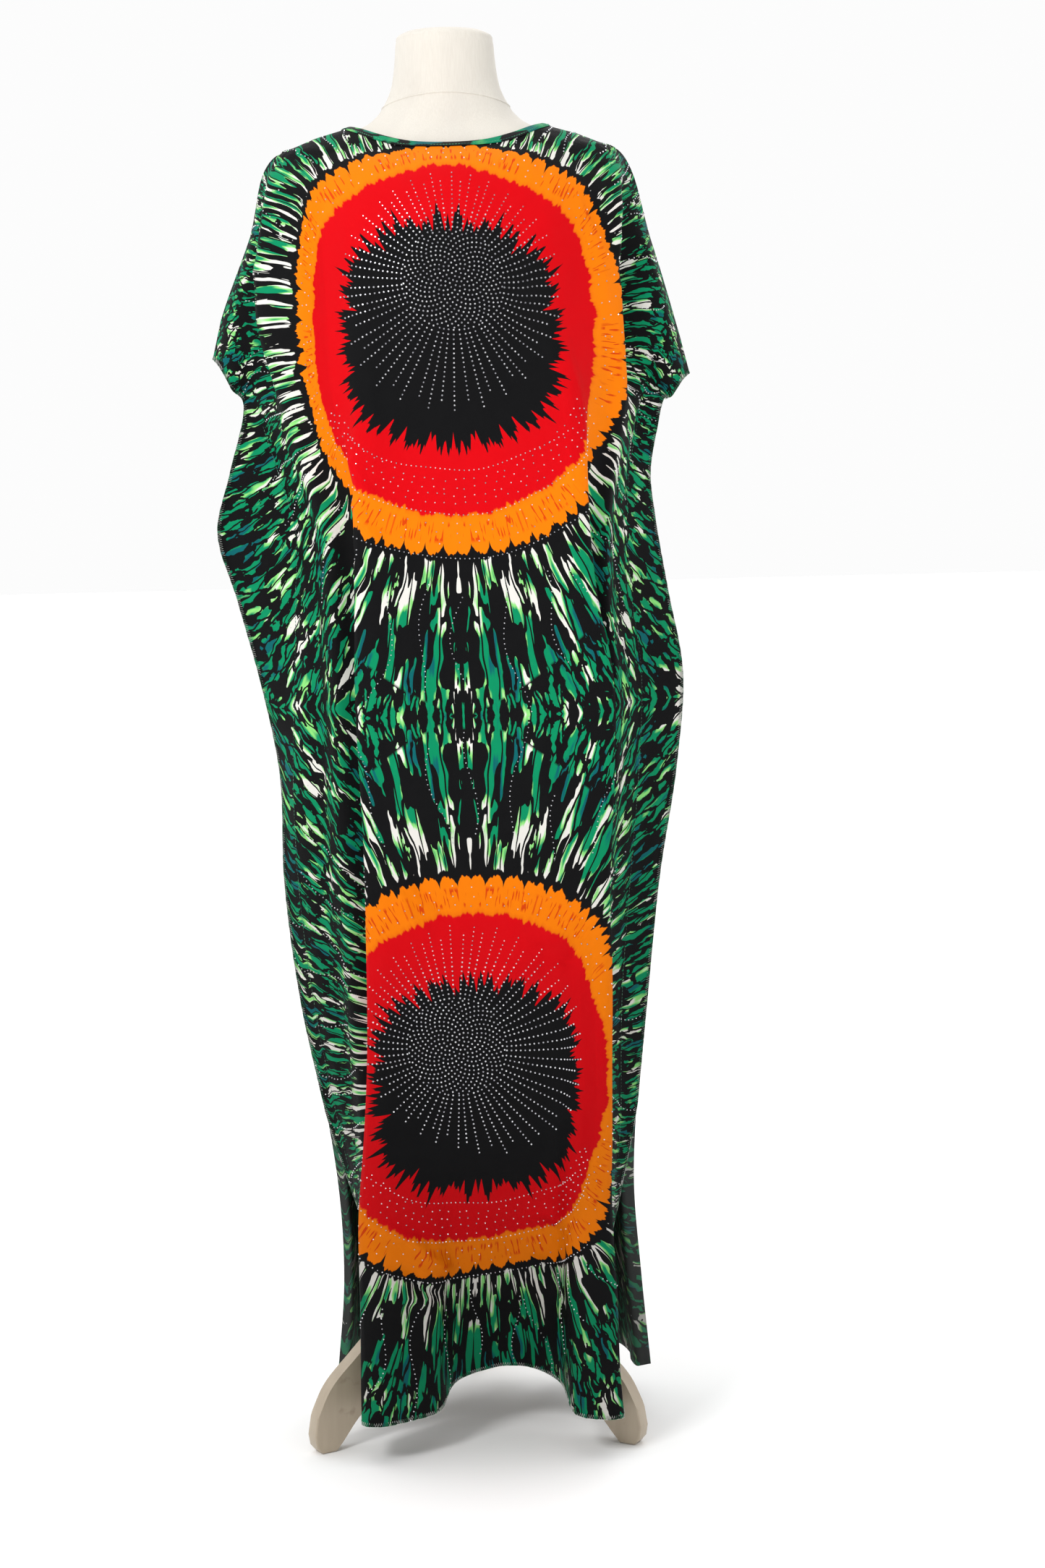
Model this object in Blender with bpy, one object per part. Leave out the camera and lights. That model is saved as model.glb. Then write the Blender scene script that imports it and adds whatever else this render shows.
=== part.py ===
"""A baati dress on a limbless dress form with a three-legged stand.

+X is to the right of someone who looks at the dress's front, -Y is the front and +Z is up. The form's
axis is x = y = 0 while the pieces are made. At the end everything is moved so that the middle of the
whole part's footprint is the origin and the feet stand on z = 0.

The dress is two panels of thin cloth, a front and a back, sewn along the shoulders and down the sides
inside their free edges, and open at the neck, the sleeves, the side slits and the hem. Each panel is
a net of named lines that run down the cloth (its free edge, the seam, the folds), crossed by level
sections. The tables give the lines' places in each section, and splines run through them both ways.
"""

import bpy
import numpy as np
from mathutils import Vector
from mathutils.bvhtree import BVHTree

# Cloth, in metres
CLOTH = 0.0015  # wall of the panels
SEAM_GAP = 0.0004  # between the front and the back panel where they are sewn
FORM_GAP = 0.0044  # least distance of a panel's points from the form's facets
NEAR_FORM = 0.06  # how deep inside the form a point may lie to be moved out of it
NECK_BAND = 0.009  # width of the bound neck edge
BAND_SHARES = (0.0, 0.34, 0.67, 1.0)  # the band's lines across its width
BAND_CLOTH = 0.0010  # wall of that band
BAND_LIFT = 0.0013  # between the band and the panel under it
BAND_STEP = 0.0005  # of the walk down the panels that finds the band's lines
BAND_CLEAR = 0.0004  # least distance from the panels, reached in so many lifts of so much
BAND_LIFTS, BAND_RAISE = 12, 0.0003
BAND_SMOOTHINGS = 2  # of the walked lines, along the neckline
MITRE_LIMIT = 0.6  # the least cosine of half a fold's turn that a mitre follows

# Heights
HEM_HEIGHT = 0.046
SLIT_TOP = 0.300
SLEEVE_FOOT = 1.130  # height of the section where the sleeves' mouths end
TOP_TO_SLEEVE_FOOT = 0.320  # cloth between the shoulder line and that section
YOKE_SHARES = (0.0, 0.16, 0.52)  # where the net's rows above that section lie in it
YOKE_ROWS = len(YOKE_SHARES)
HIGH_SHARES = (0.30, 0.56, 0.19)  # of its way in x, y and z that a line has gone in the second row

# The shoulder line, on which both panels start: x and z of each named line's upper end
NECK_CORNER = (0.1065, 1.4478)
SHOULDER_COLUMNS = ("line", "x", "z")
SHOULDER_LINE = (
    ("mid", 0.163, 1.4305),
    ("valley", 0.142, 1.4378),
    ("behind", 0.128, 1.4420),
    ("fold", 0.117, 1.4450),
)
SLEEVE_COLUMNS = ("line", "top_x", "top_z", "low_x", "low_y", "low_z")
LEFT_SLEEVE = (
    ("edge", 0.2616, 1.204, 0.2415, 0.026, 1.172),
    ("seam", 0.2510, 1.247, 0.2360, 0.032, 1.192),
    ("out", 0.2165, 1.335, 0.2190, 0.036, 1.232),
    ("sleeve_valley", 0.2000, 1.403, 0.1800, 0.046, 1.252),
    ("sleeve_fold", 0.1860, 1.421, 0.2070, 0.066, 1.262),
)
RIGHT_SLEEVE = (
    ("edge", 0.2605, 1.178, 0.2400, 0.024, 1.154),
    ("seam", 0.2500, 1.220, 0.2340, 0.032, 1.176),
    ("out", 0.2190, 1.328, 0.2160, 0.036, 1.222),
    ("sleeve_valley", 0.2000, 1.400, 0.1560, 0.050, 1.250),
    ("sleeve_fold", 0.1860, 1.421, 0.1820, 0.080, 1.262),
)
# The body layer's lines in the third row, all at one height: distance from the middle, and depth
YOKE_LOW_HEIGHT = 1.270
YOKE_LOW = {
    "mid": (0.168, 0.094),
    "valley": (0.135, 0.116),
    "behind": (0.116, 0.129),
    "fold": (0.104, 0.137),
    "before": (0.092, 0.142),
}
CHEST = 0.149  # depth of the front panel's middle there
CHEST_HALF = 0.074  # half width of its middle lines there
CHEST_ROUND = 0.9  # how fast its depth falls off sideways

# The neckline is an oval: its depth before and behind the axis, and its height there
FRONT_NECK = (0.0830, 1.4215)
BACK_NECK = (0.0710, 1.4375)
NECK_DROP = 1.3  # power of the neckline's fall from its corners
FRONT_NECK_DEGREES = (22, 43, 66, 90, 114, 137, 158)  # where the front's lines start on it
BACK_NECK_DEGREES = (40, 90, 140)

# Level sections of the front panel. Fold, seam and edge are distances from the middle; tuck_in and
# tuck_back say how far the cloth runs inward and back behind the fold before it comes out again.
SIDE_COLUMNS = ("z", "fold", "tuck_in", "tuck_back", "seam", "seam_y", "edge", "edge_y")
LEFT_SIDE = (
    (1.130, 0.1020, -0.020, 0.022, 0.2080, -0.014, 0.2325, -0.002),
    (1.070, 0.1035, -0.002, 0.025, 0.1900, -0.022, 0.2500, 0.000),
    (1.020, 0.1050, 0.012, 0.029, 0.1760, -0.026, 0.2635, 0.006),
    (0.940, 0.1070, 0.024, 0.036, 0.1775, -0.026, 0.2445, 0.010),
    (0.850, 0.1095, 0.032, 0.042, 0.1810, -0.024, 0.2220, 0.012),
    (0.750, 0.1090, 0.038, 0.048, 0.1860, -0.020, 0.2035, 0.010),
    (0.620, 0.1070, 0.042, 0.052, 0.1840, -0.016, 0.2012, 0.006),
    (0.480, 0.1085, 0.042, 0.054, 0.1700, -0.014, 0.1860, 0.002),
    (0.360, 0.1130, 0.036, 0.052, 0.1500, -0.012, 0.1630, 0.000),
    (0.270, 0.1215, 0.024, 0.048, 0.1420, -0.010, 0.1520, 0.000),
    (0.160, 0.1220, 0.008, 0.042, 0.1400, -0.010, 0.1495, 0.000),
    (0.046, 0.1235, 0.000, 0.036, 0.1480, -0.010, 0.1600, 0.000),
)
RIGHT_SIDE = (
    (1.130, 0.1365, -0.010, 0.022, 0.2020, -0.014, 0.2260, -0.002),
    (1.070, 0.1375, 0.002, 0.026, 0.1900, -0.022, 0.2155, 0.002),
    (1.020, 0.1385, 0.013, 0.031, 0.1870, -0.026, 0.2205, 0.006),
    (0.940, 0.1460, 0.026, 0.038, 0.1900, -0.026, 0.2335, 0.010),
    (0.850, 0.1620, 0.036, 0.044, 0.2000, -0.022, 0.2487, 0.012),
    (0.750, 0.1625, 0.040, 0.048, 0.1960, -0.018, 0.2410, 0.012),
    (0.620, 0.1545, 0.042, 0.052, 0.1840, -0.014, 0.2190, 0.010),
    (0.480, 0.1525, 0.042, 0.054, 0.1720, -0.012, 0.2025, 0.008),
    (0.360, 0.1520, 0.038, 0.052, 0.1690, -0.010, 0.1890, 0.006),
    (0.270, 0.1490, 0.026, 0.048, 0.1700, -0.008, 0.1845, 0.004),
    (0.160, 0.1545, 0.010, 0.036, 0.1760, -0.006, 0.1915, 0.004),
    (0.046, 0.1570, 0.000, 0.018, 0.1860, -0.004, 0.2015, 0.004),
)
# The fold's lip: its width, how far behind the face it turns, the cloth's depth behind it and in the
# valley beyond that of tuck_back, and the shares of tuck_in and tuck_back at the line behind it
LIP_WIDTH = 0.014
LIP_TURN = 0.006
BEHIND_TURN, VALLEY_TURN = 0.012, 0.010
BEHIND_IN, BEHIND_BACK = 0.45, 0.30
# The cloth from the valley to the seam: how far it puffs out, and how deep its ripples are
WAVE_COLUMNS = ("z", "puff", "ripple")
WAVES = (
    (1.130, 0.0160, 0.004),
    (0.940, 0.0145, 0.010),
    (0.480, 0.0110, 0.010),
    (0.360, 0.0100, 0.005),
    (0.046, 0.0000, 0.000),
)
PUFF_OUTWARD = 0.5  # sideways share of the puff
SIDE_LINE_COLUMNS = ("line", "share", "puff", "ripple")
SIDE_LINES = (
    ("mid", 0.26, 0.4, 0.3),
    ("sleeve_fold", 0.50, 1.0, -1.0),
    ("sleeve_valley", 0.68, 0.8, 0.7),
    ("out", 0.86, 0.4, 0.1),
)
FRONT_SIDE_ORDER = (
    "edge", "seam", "out", "sleeve_valley", "sleeve_fold", "mid", "valley", "behind", "fold", "before",
)
# Depth of the front panel's face, and how far its middle is drawn back towards the hem
FACE_COLUMNS = ("z", "face", "cleft")
FACE = (
    (1.130, 0.152, 0.000),
    (0.850, 0.155, 0.000),
    (0.620, 0.156, 0.000),
    (0.480, 0.156, 0.004),
    (0.360, 0.157, 0.016),
    (0.270, 0.157, 0.036),
    (0.160, 0.157, 0.070),
    (0.046, 0.157, 0.104),
)
# The cleft's lines: place across below the bust and at the hem, share of the cleft's depth, how far
# the cloth leans back there, and how far the hem is raised
CLEFT_LINES = (
    (-0.072, -0.074, 0.00, 0.016, 0.000),
    (-0.050, -0.040, 0.10, 0.030, 0.002),
    (-0.026, -0.026, 0.78, 0.000, 0.020),
    (0.014, 0.010, 1.00, 0.000, 0.028),
    (0.050, 0.056, 1.00, 0.000, 0.030),
    (0.086, 0.094, 0.72, 0.000, 0.020),
    (0.112, 0.107, 0.12, 0.000, 0.002),
)
CLEFT_POWER = 0.6  # how soon the middle lines take their places at the hem
HEM_RAISE_FROM = 0.36  # height at which the middle of the hem starts to be raised
# Below the slits' tops each panel goes its own way, the front one turned in before the legs. These are
# the moves of its seam and of its free edge at the hem, in x and y, on the left (-1) and the right (1)
FRONT_SLIT = {
    -1: {"seam": (0.058, -0.092), "edge": (0.090, -0.092)},
    1: {"seam": (-0.046, -0.116), "edge": (-0.085, -0.125)},
}
BACK_SLIT = {
    -1: {"seam": (0.000, 0.030), "edge": (0.000, 0.030)},
    1: {"seam": (0.000, 0.030), "edge": (0.000, 0.030)},
}
SLIT_POWER = 0.75  # how soon a slit opens below its top

# The back panel: depth, and the depth of its soft pleats
BACK_COLUMNS = ("z", "depth", "pleat")
BACK = (
    (1.130, 0.112, 0.006),
    (0.850, 0.118, 0.016),
    (0.620, 0.122, 0.022),
    (0.360, 0.124, 0.026),
    (0.046, 0.126, 0.030),
)
# The back's lines between the seam and the middle: share of the seam's distance from the middle,
# share of the back's depth, and share of the pleat's depth by which the line lies in or out
BACK_LINE_COLUMNS = ("line", "across", "depth", "pleat")
LEFT_BACK_LINES = (
    ("out", 0.965, 0.22, 0.00),
    ("flank", 0.950, 0.60, 0.00),
    ("mid", 0.820, 0.97, 0.30),
    ("valley", 0.640, 0.92, -1.00),
    ("ridge", 0.450, 1.00, 0.60),
    ("neck", 0.310, 0.97, -0.30),
)
RIGHT_BACK_LINES = (
    ("out", 0.965, 0.22, 0.00),
    ("flank", 0.960, 0.58, 0.00),
    ("mid", 0.860, 0.94, 0.10),
    ("valley", 0.700, 0.94, -0.70),
    ("ridge", 0.520, 1.00, 0.50),
    ("neck", 0.360, 0.96, -0.75),
)
BACK_INNER = (0.034, 0.35, -0.6)  # place across, and the pleat's share there and in the middle
BACK_INNER_LOW = (0.038, 0.116)  # place and depth of those lines at YOKE_LOW_HEIGHT
# The back's lines above the sleeves' foot: the front's line at whose upper end each starts, and its
# place in the third row
BACK_YOKE = (  # line, the front's line, then the place in the third row
    ("flank", "sleeve_fold", 0.200, 0.066, 1.262),
    ("mid", "mid", 0.168, 0.090, 1.270),
    ("valley", "valley", 0.135, 0.103, 1.270),
    ("ridge", "behind", 0.104, 0.110, 1.270),
    ("neck", "before", 0.072, 0.113, 1.270),
)
BACK_SIDE_ORDER = ("edge", "seam", "out", "flank", "mid", "valley", "ridge", "neck")
# Where the back panel's hem lies on the rear leg: how wide, how far back and up it is moved
OVER_LEG_WIDTH = 0.036
OVER_LEG_BACK = 0.046
OVER_LEG_UP = 0.076
OVER_LEG_FROM = 0.30
OVER_LEG_POWER = 1.5

# Cells between the panels' lines, from an edge to the middle
SIDE_CELLS = (1, 1, 2, 2, 2, 2, 2, 2, 1)
FACE_CELLS = (3, 2, 2, 2, 2, 2, 2, 3)
BACK_SIDE_CELLS = (1, 2, 2, 2, 3, 3, 2)
BACK_FACE_CELLS = (4, 3, 3, 4)
ROW_CELLS = (3, 4, 3, 1, 1, 2, 2, 2, 2, 2, 2, 2, 3, 3)  # between the net's rows

# The form: level rings, with half width, depth before and behind the axis, and roundness
FORM_COLUMNS = ("z", "half_width", "front", "back", "power")
FORM = (
    (0.800, 0.148, 0.088, 0.088, 2.3),
    (0.812, 0.156, 0.095, 0.096, 2.3),
    (0.880, 0.160, 0.098, 0.102, 2.3),
    (0.960, 0.146, 0.094, 0.092, 2.3),
    (1.060, 0.118, 0.086, 0.076, 2.2),
    (1.140, 0.132, 0.104, 0.080, 2.2),
    (1.220, 0.148, 0.124, 0.088, 2.3),
    (1.300, 0.164, 0.116, 0.096, 2.4),
    (1.370, 0.180, 0.100, 0.097, 2.4),
    (1.400, 0.1850, 0.089, 0.091, 2.3),
    (1.4180, 0.1800, 0.0790, 0.082, 2.1),
    (1.4330, 0.1430, 0.0700, 0.073, 2.0),
    (1.4425, 0.1090, 0.0640, 0.0655, 2.0),
    (1.4510, 0.0890, 0.0600, 0.0610, 2.0),
    (1.4615, 0.0755, 0.0570, 0.0575, 2.0),
    (1.4740, 0.0670, 0.0545, 0.0545, 2.0),
    (1.4890, 0.0600, 0.0530, 0.0530, 2.0),
    (1.5070, 0.0562, 0.0520, 0.0520, 2.0),
    (1.5270, 0.0540, 0.0515, 0.0515, 2.0),
    (1.5390, 0.0528, 0.0505, 0.0505, 2.0),
    (1.5465, 0.0500, 0.0475, 0.0475, 2.0),
    (1.5500, 0.0425, 0.0400, 0.0400, 2.0),
)
FORM_SIDES = 32

# The stand
LEGS = (("leg_rear", 90.0), ("leg_left", 210.0), ("leg_right", 330.0))  # name and direction, degrees
LEG_THICKNESS = 0.019
# The legs' outline, as distance from the axis and height
LEG_TOP_EDGE = ((0.0303, 0.172), (0.075, 0.16), (0.12, 0.134), (0.16, 0.101), (0.192, 0.071), (0.209, 0.04))
LEG_FOOT = ((0.2125, 0.020), (0.2105, 0.008), (0.204, 0.0), (0.186, 0.0))
LEG_UNDER_EDGE = ((0.178, 0.010), (0.155, 0.036), (0.118, 0.060), (0.074, 0.080), (0.0303, 0.092))
LEG_CURVE_STEPS = 3
HUB_RADIUS = 0.030
HUB_BOTTOM, HUB_TOP = 0.084, 0.182
HUB_ROUND = 0.006
POLE_RADIUS = 0.0125
TOUCH = 0.0003  # between hard pieces that meet

# Materials: colour, roughness and metallic value
MATERIALS = {
    "printed_cloth": ((0.02, 0.25, 0.13), 0.55, 0.0),
    "neck_cloth": ((0.03, 0.18, 0.10), 0.55, 0.0),
    "form_cover": ((0.76, 0.73, 0.67), 0.85, 0.0),
    "painted_wood": ((0.66, 0.60, 0.52), 0.45, 0.0),
}


def columns(names, rows):
    """A table's columns by name."""
    return dict(zip(names, np.array(rows, float).T))


def by_line(names, rows):
    """A table's rows by the name of their line, each with its other columns by name."""
    return {row[0]: dict(zip(names[1:], row[1:])) for row in rows}


def sleeve(side):
    """The sleeve's table on the left (-1) or the right (1)."""
    return by_line(SLEEVE_COLUMNS, LEFT_SLEEVE if side < 0 else RIGHT_SLEEVE)


def side_table(side):
    """The table of the level sections on the left (-1) or the right (1)."""
    return columns(SIDE_COLUMNS, LEFT_SIDE if side < 0 else RIGHT_SIDE)


def clear_scene():
    for thing in list(bpy.data.objects):
        bpy.data.objects.remove(thing, do_unlink=True)


def material(name):
    """One Principled material of the part."""
    colour, roughness, metallic = MATERIALS[name]
    made = bpy.data.materials.new(name)
    made.use_nodes = True
    shader = made.node_tree.nodes["Principled BSDF"]
    shader.inputs["Base Color"].default_value = (*colour, 1.0)
    shader.inputs["Roughness"].default_value = roughness
    shader.inputs["Metallic"].default_value = metallic
    return made


def add_mesh(name, points, faces, cover):
    """A named object from points and faces."""
    mesh = bpy.data.meshes.new(name)
    mesh.from_pydata([tuple(p) for p in points], [], [tuple(int(i) for i in f) for f in faces])
    mesh.materials.append(cover)
    mesh.shade_smooth()
    mesh.set_sharp_from_angle(angle=np.radians(40))
    made = bpy.data.objects.new(name, mesh)
    bpy.context.scene.collection.objects.link(made)
    return made


def down_spline(knots, points, where):
    """A curve through points[k] at knots[k], with the slope there taken from both neighbours."""
    gaps = np.diff(knots)[:, None, None]
    runs = np.diff(points, axis=0) / gaps
    slopes = np.empty_like(points)
    slopes[0], slopes[-1] = runs[0], runs[-1]
    slopes[1:-1] = (runs[:-1] * gaps[1:] + runs[1:] * gaps[:-1]) / (gaps[1:] + gaps[:-1])
    k = np.clip(np.searchsorted(knots, where, side="right") - 1, 0, len(knots) - 2)
    step = gaps[k]
    s = ((where - knots[k])[:, None, None]) / step
    return (
        (2 * s**3 - 3 * s**2 + 1) * points[k]
        + (s**3 - 2 * s**2 + s) * step * slopes[k]
        + (3 * s**2 - 2 * s**3) * points[k + 1]
        + (s**3 - s**2) * step * slopes[k + 1]
    )


def across_spline(points, cells):
    """Each row's curve through its lines' points, cut into the given cells between lines.

    The first and the last stretch, which lie on the other panel's, are straight.
    """
    steps = np.sqrt(np.maximum(np.linalg.norm(np.diff(points, axis=1), axis=2), 1e-6))[:, :, None]
    runs = np.diff(points, axis=1) / steps
    slopes = np.empty_like(points)
    slopes[:, 0], slopes[:, -1] = runs[:, 0], runs[:, -1]
    both = (points[:, 2:] - points[:, :-2]) / (steps[:, 1:] + steps[:, :-1])
    slopes[:, 1:-1] = runs[:, :-1] - both + runs[:, 1:]
    out = [points[:, :1]]
    last = len(cells) - 1
    for i, count in enumerate(cells):
        s = (np.arange(1, count + 1) / count)[None, :, None]
        a, b = points[:, i : i + 1], points[:, i + 1 : i + 2]
        if i in (0, last):
            out.append(a + s * (b - a))
            continue
        step = steps[:, i : i + 1]
        leave, arrive = slopes[:, i : i + 1] * step, slopes[:, i + 1 : i + 2] * step
        out.append(
            (2 * s**3 - 3 * s**2 + 1) * a
            + (s**3 - 2 * s**2 + s) * leave
            + (3 * s**2 - 2 * s**3) * b
            + (s**3 - s**2) * arrive
        )
    return np.concatenate(out, axis=1)


def section_heights():
    return columns(SIDE_COLUMNS, LEFT_SIDE)["z"]


def row_knots():
    """The cloth's length from the shoulder line down to each row of the net."""
    yoke = TOP_TO_SLEEVE_FOOT * np.array(YOKE_SHARES)
    return np.concatenate([yoke, TOP_TO_SLEEVE_FOOT + SLEEVE_FOOT - section_heights()])


def mesh_rows(cells):
    """Where the mesh's rows lie, with the given number of cells between the net's rows."""
    knots = row_knots()
    parts = [np.linspace(a, b, n, endpoint=False) for a, b, n in zip(knots[:-1], knots[1:], cells)]
    return np.append(np.concatenate(parts), knots[-1])


def slit_opening(heights):
    """0 above a slit's top, then rising to 1 at the hem."""
    return np.clip((SLIT_TOP - heights) / (SLIT_TOP - HEM_HEIGHT), 0, 1) ** SLIT_POWER


def yoke_rows(top, low, front):
    """A line's three rows above the sleeves' foot: at the shoulder line, high and low on the chest."""
    top, low = np.array(top, float), np.array(low, float)
    high = top + np.array(HIGH_SHARES) * (low - top)
    facing = np.array([1.0, -1.0 if front else 1.0, 1.0])
    return [top * facing, high * facing, low * facing]


def neck_point(degrees, neck):
    """A point of the neckline's oval, 0 degrees being its left corner and 90 the middle."""
    corner_x, corner_z = NECK_CORNER
    depth, height = neck
    sine = np.sin(np.radians(degrees))
    x = -corner_x * np.cos(np.radians(degrees))
    return (x, depth * sine, corner_z + (height - corner_z) * sine**NECK_DROP)


def shoulder_tops(side):
    """The upper ends of all lines on the shoulder line."""
    shoulder = by_line(SHOULDER_COLUMNS, SHOULDER_LINE)
    ends = {name: (row["top_x"], row["top_z"]) for name, row in sleeve(side).items()}
    ends.update({name: (row["x"], row["z"]) for name, row in shoulder.items()})
    ends["before"] = NECK_CORNER
    return {name: (side * x, 0.0, z) for name, (x, z) in ends.items()}


def seamed_lines(side, front):
    """The free edge and the seam, on which both panels lie, from the shoulder line to the hem."""
    table = side_table(side)
    opening = slit_opening(table["z"])
    moves = (FRONT_SLIT if front else BACK_SLIT)[side]
    lines = {}
    for name in ("edge", "seam"):
        move_x, move_y = moves[name]
        x = side * table[name] + opening * move_x
        y = table[name + "_y"] + opening * move_y
        lines[name] = np.column_stack([x, y, table["z"]])
    return lines


def front_side_lines(side):
    """The front panel's lines from one free edge to the cloth just before the fold, top to hem."""
    table, face, wave = side_table(side), columns(FACE_COLUMNS, FACE), columns(WAVE_COLUMNS, WAVES)
    heights, tuck_in, tuck_back = table["z"], table["tuck_in"], table["tuck_back"]
    depth = -np.interp(-heights, -face["z"], face["face"])
    puff = np.interp(-heights, -wave["z"], wave["puff"])
    ripple = np.interp(-heights, -wave["z"], wave["ripple"])

    def line(inward, back):
        return np.column_stack([side * (table["fold"] - inward), depth + back, heights])

    lines = seamed_lines(side, True)
    lines["before"] = line(LIP_WIDTH, 0)
    lines["fold"] = line(0, LIP_TURN)
    lines["behind"] = line(BEHIND_IN * tuck_in, BEHIND_TURN + BEHIND_BACK * tuck_back)
    lines["valley"] = line(tuck_in, VALLEY_TURN + tuck_back)
    reach = lines["seam"] - lines["valley"]
    for name, row in by_line(SIDE_LINE_COLUMNS, SIDE_LINES).items():
        point = lines["valley"] + row["share"] * reach
        point[:, 0] += side * PUFF_OUTWARD * row["puff"] * puff
        point[:, 1] += row["ripple"] * ripple - row["puff"] * puff
        lines[name] = point
    tops = shoulder_tops(side)
    lows = {name: (side * x, y, YOKE_LOW_HEIGHT) for name, (x, y) in YOKE_LOW.items()}
    for name, row in sleeve(side).items():
        lows[name] = (side * row["low_x"], row["low_y"], row["low_z"])
    return [yoke_rows(tops[name], lows[name], True) + list(lines[name]) for name in FRONT_SIDE_ORDER]


def front_net():
    """The front panel's net: rows from the shoulder line to the hem, lines from left to right."""
    heights = section_heights()
    face = columns(FACE_COLUMNS, FACE)
    depth = np.interp(-heights, -face["z"], face["face"])
    cleft = np.interp(-heights, -face["z"], face["cleft"])
    drawn = (cleft / cleft.max()) ** CLEFT_POWER
    raised = np.clip((HEM_RAISE_FROM - heights) / (HEM_RAISE_FROM - HEM_HEIGHT), 0, 1)
    chest = np.linspace(-CHEST_HALF, CHEST_HALF, len(CLEFT_LINES))
    lines = []
    for degrees, place, (above, hem, share, lean, lift) in zip(FRONT_NECK_DEGREES, chest, CLEFT_LINES):
        top = neck_point(degrees, FRONT_NECK)
        low = (place, CHEST - CHEST_ROUND * place**2, YOKE_LOW_HEIGHT)
        x = above + (hem - above) * drawn
        y = -depth + share * cleft + lean * drawn
        lines.append(yoke_rows(top, low, True) + list(np.column_stack([x, y, heights + lift * raised])))
    left, right = front_side_lines(-1), front_side_lines(1)
    return np.array(left + lines + right[::-1]).transpose(1, 0, 2)


def back_side_lines(side):
    """The back panel's lines from one free edge to near the neck."""
    heights = section_heights()
    lines = seamed_lines(side, False)
    seam_x, seam_y = lines["seam"][:, 0], lines["seam"][:, 1]
    back = columns(BACK_COLUMNS, BACK)
    depth = np.interp(-heights, -back["z"], back["depth"])
    pleat = np.interp(-heights, -back["z"], back["pleat"])
    table = by_line(BACK_LINE_COLUMNS, LEFT_BACK_LINES if side < 0 else RIGHT_BACK_LINES)
    for name, row in table.items():
        y = seam_y + row["depth"] * (depth - seam_y) + row["pleat"] * pleat
        lines[name] = np.column_stack([row["across"] * seam_x, y, heights])
    ends = shoulder_tops(side)
    places = {name: (name, row["low_x"], row["low_y"], row["low_z"]) for name, row in sleeve(side).items()}
    places.update({row[0]: row[1:] for row in BACK_YOKE})
    made = []
    for name in BACK_SIDE_ORDER:
        top, x, y, z = places[name]
        made.append(yoke_rows(ends[top], (side * x, y, z), False) + list(lines[name]))
    return made


def back_net():
    """The back panel's net."""
    heights = section_heights()
    back = columns(BACK_COLUMNS, BACK)
    depth = np.interp(-heights, -back["z"], back["depth"])
    pleat = np.interp(-heights, -back["z"], back["pleat"])
    across, wave, middle_wave = BACK_INNER
    low_x, low_y = BACK_INNER_LOW
    lines = []
    for place, degrees in zip((-1, 0, 1), BACK_NECK_DEGREES):
        top = neck_point(degrees, BACK_NECK)
        low = (place * low_x, low_y, YOKE_LOW_HEIGHT)
        x = np.full(len(heights), place * across)
        y = depth + (wave if place else middle_wave) * pleat
        lines.append(yoke_rows(top, low, False) + list(np.column_stack([x, y, heights])))
    return np.array(back_side_lines(-1) + lines + back_side_lines(1)[::-1]).transpose(1, 0, 2)


def panel(net, side_cells, middle_cells, row_cells):
    """The surface on which a panel lies, as a grid of points.

    Both panels share the free edge and the seam between the sleeve's foot and the slit's top, so
    those lines' curves are made stretch by stretch, and are the same there in both panels.
    """
    knots, where = row_knots(), mesh_rows(row_cells)
    rows = down_spline(knots, net, where)
    heights = section_heights()
    sewn = knots[YOKE_ROWS] + np.array([0.0, heights[0] - heights[heights > SLIT_TOP][-1]])
    low = YOKE_ROWS
    high = YOKE_ROWS + np.count_nonzero(heights > SLIT_TOP)
    between = (where >= sewn[0] - 1e-9) & (where <= sewn[1] + 1e-9)
    for line in (0, 1, -2, -1):
        stretch = net[low:high, line : line + 1 or None]
        rows[between, line] = down_spline(knots[low:high], stretch, where[between])[:, 0]
    return across_spline(rows, side_cells + middle_cells + side_cells[::-1])


def lay_over_leg(sheet):
    """Moves the middle of the back panel's hem back and up, on to the rear leg."""
    low = np.clip((OVER_LEG_FROM - sheet[:, :, 2]) / (OVER_LEG_FROM - HEM_HEIGHT), 0, 1)
    near = np.exp(-((sheet[:, :, 0] / OVER_LEG_WIDTH) ** 2))
    sheet[:, :, 1] += OVER_LEG_BACK * near * low**OVER_LEG_POWER
    sheet[:, :, 2] += OVER_LEG_UP * near * low
    return sheet


def unit(vectors):
    return vectors / np.maximum(np.linalg.norm(vectors, axis=-1, keepdims=True), 1e-12)


def normals(sheet, outward, mitred):
    """The normal at each point of a grid; outward is 1 or -1.

    A mitred one is lengthened at a fold, so that a wall made with it keeps its thickness there.
    Without mitres the flange beyond each seam has its own, the same in both panels.
    """
    along = unit(np.diff(sheet, axis=1))
    along = np.concatenate([along[:, :1], along[:, :-1] + along[:, 1:], along[:, -1:]], axis=1)
    along[:, [0, -1]] *= 2
    if not mitred:
        along[:, 1], along[:, -2] = along[:, 0], along[:, -1]
    down = np.gradient(sheet, axis=0)
    facing = unit(outward * np.cross(along, down))
    half = np.linalg.norm(along, axis=2, keepdims=True) / 2
    return facing / np.maximum(half, MITRE_LIMIT) if mitred else facing


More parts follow.
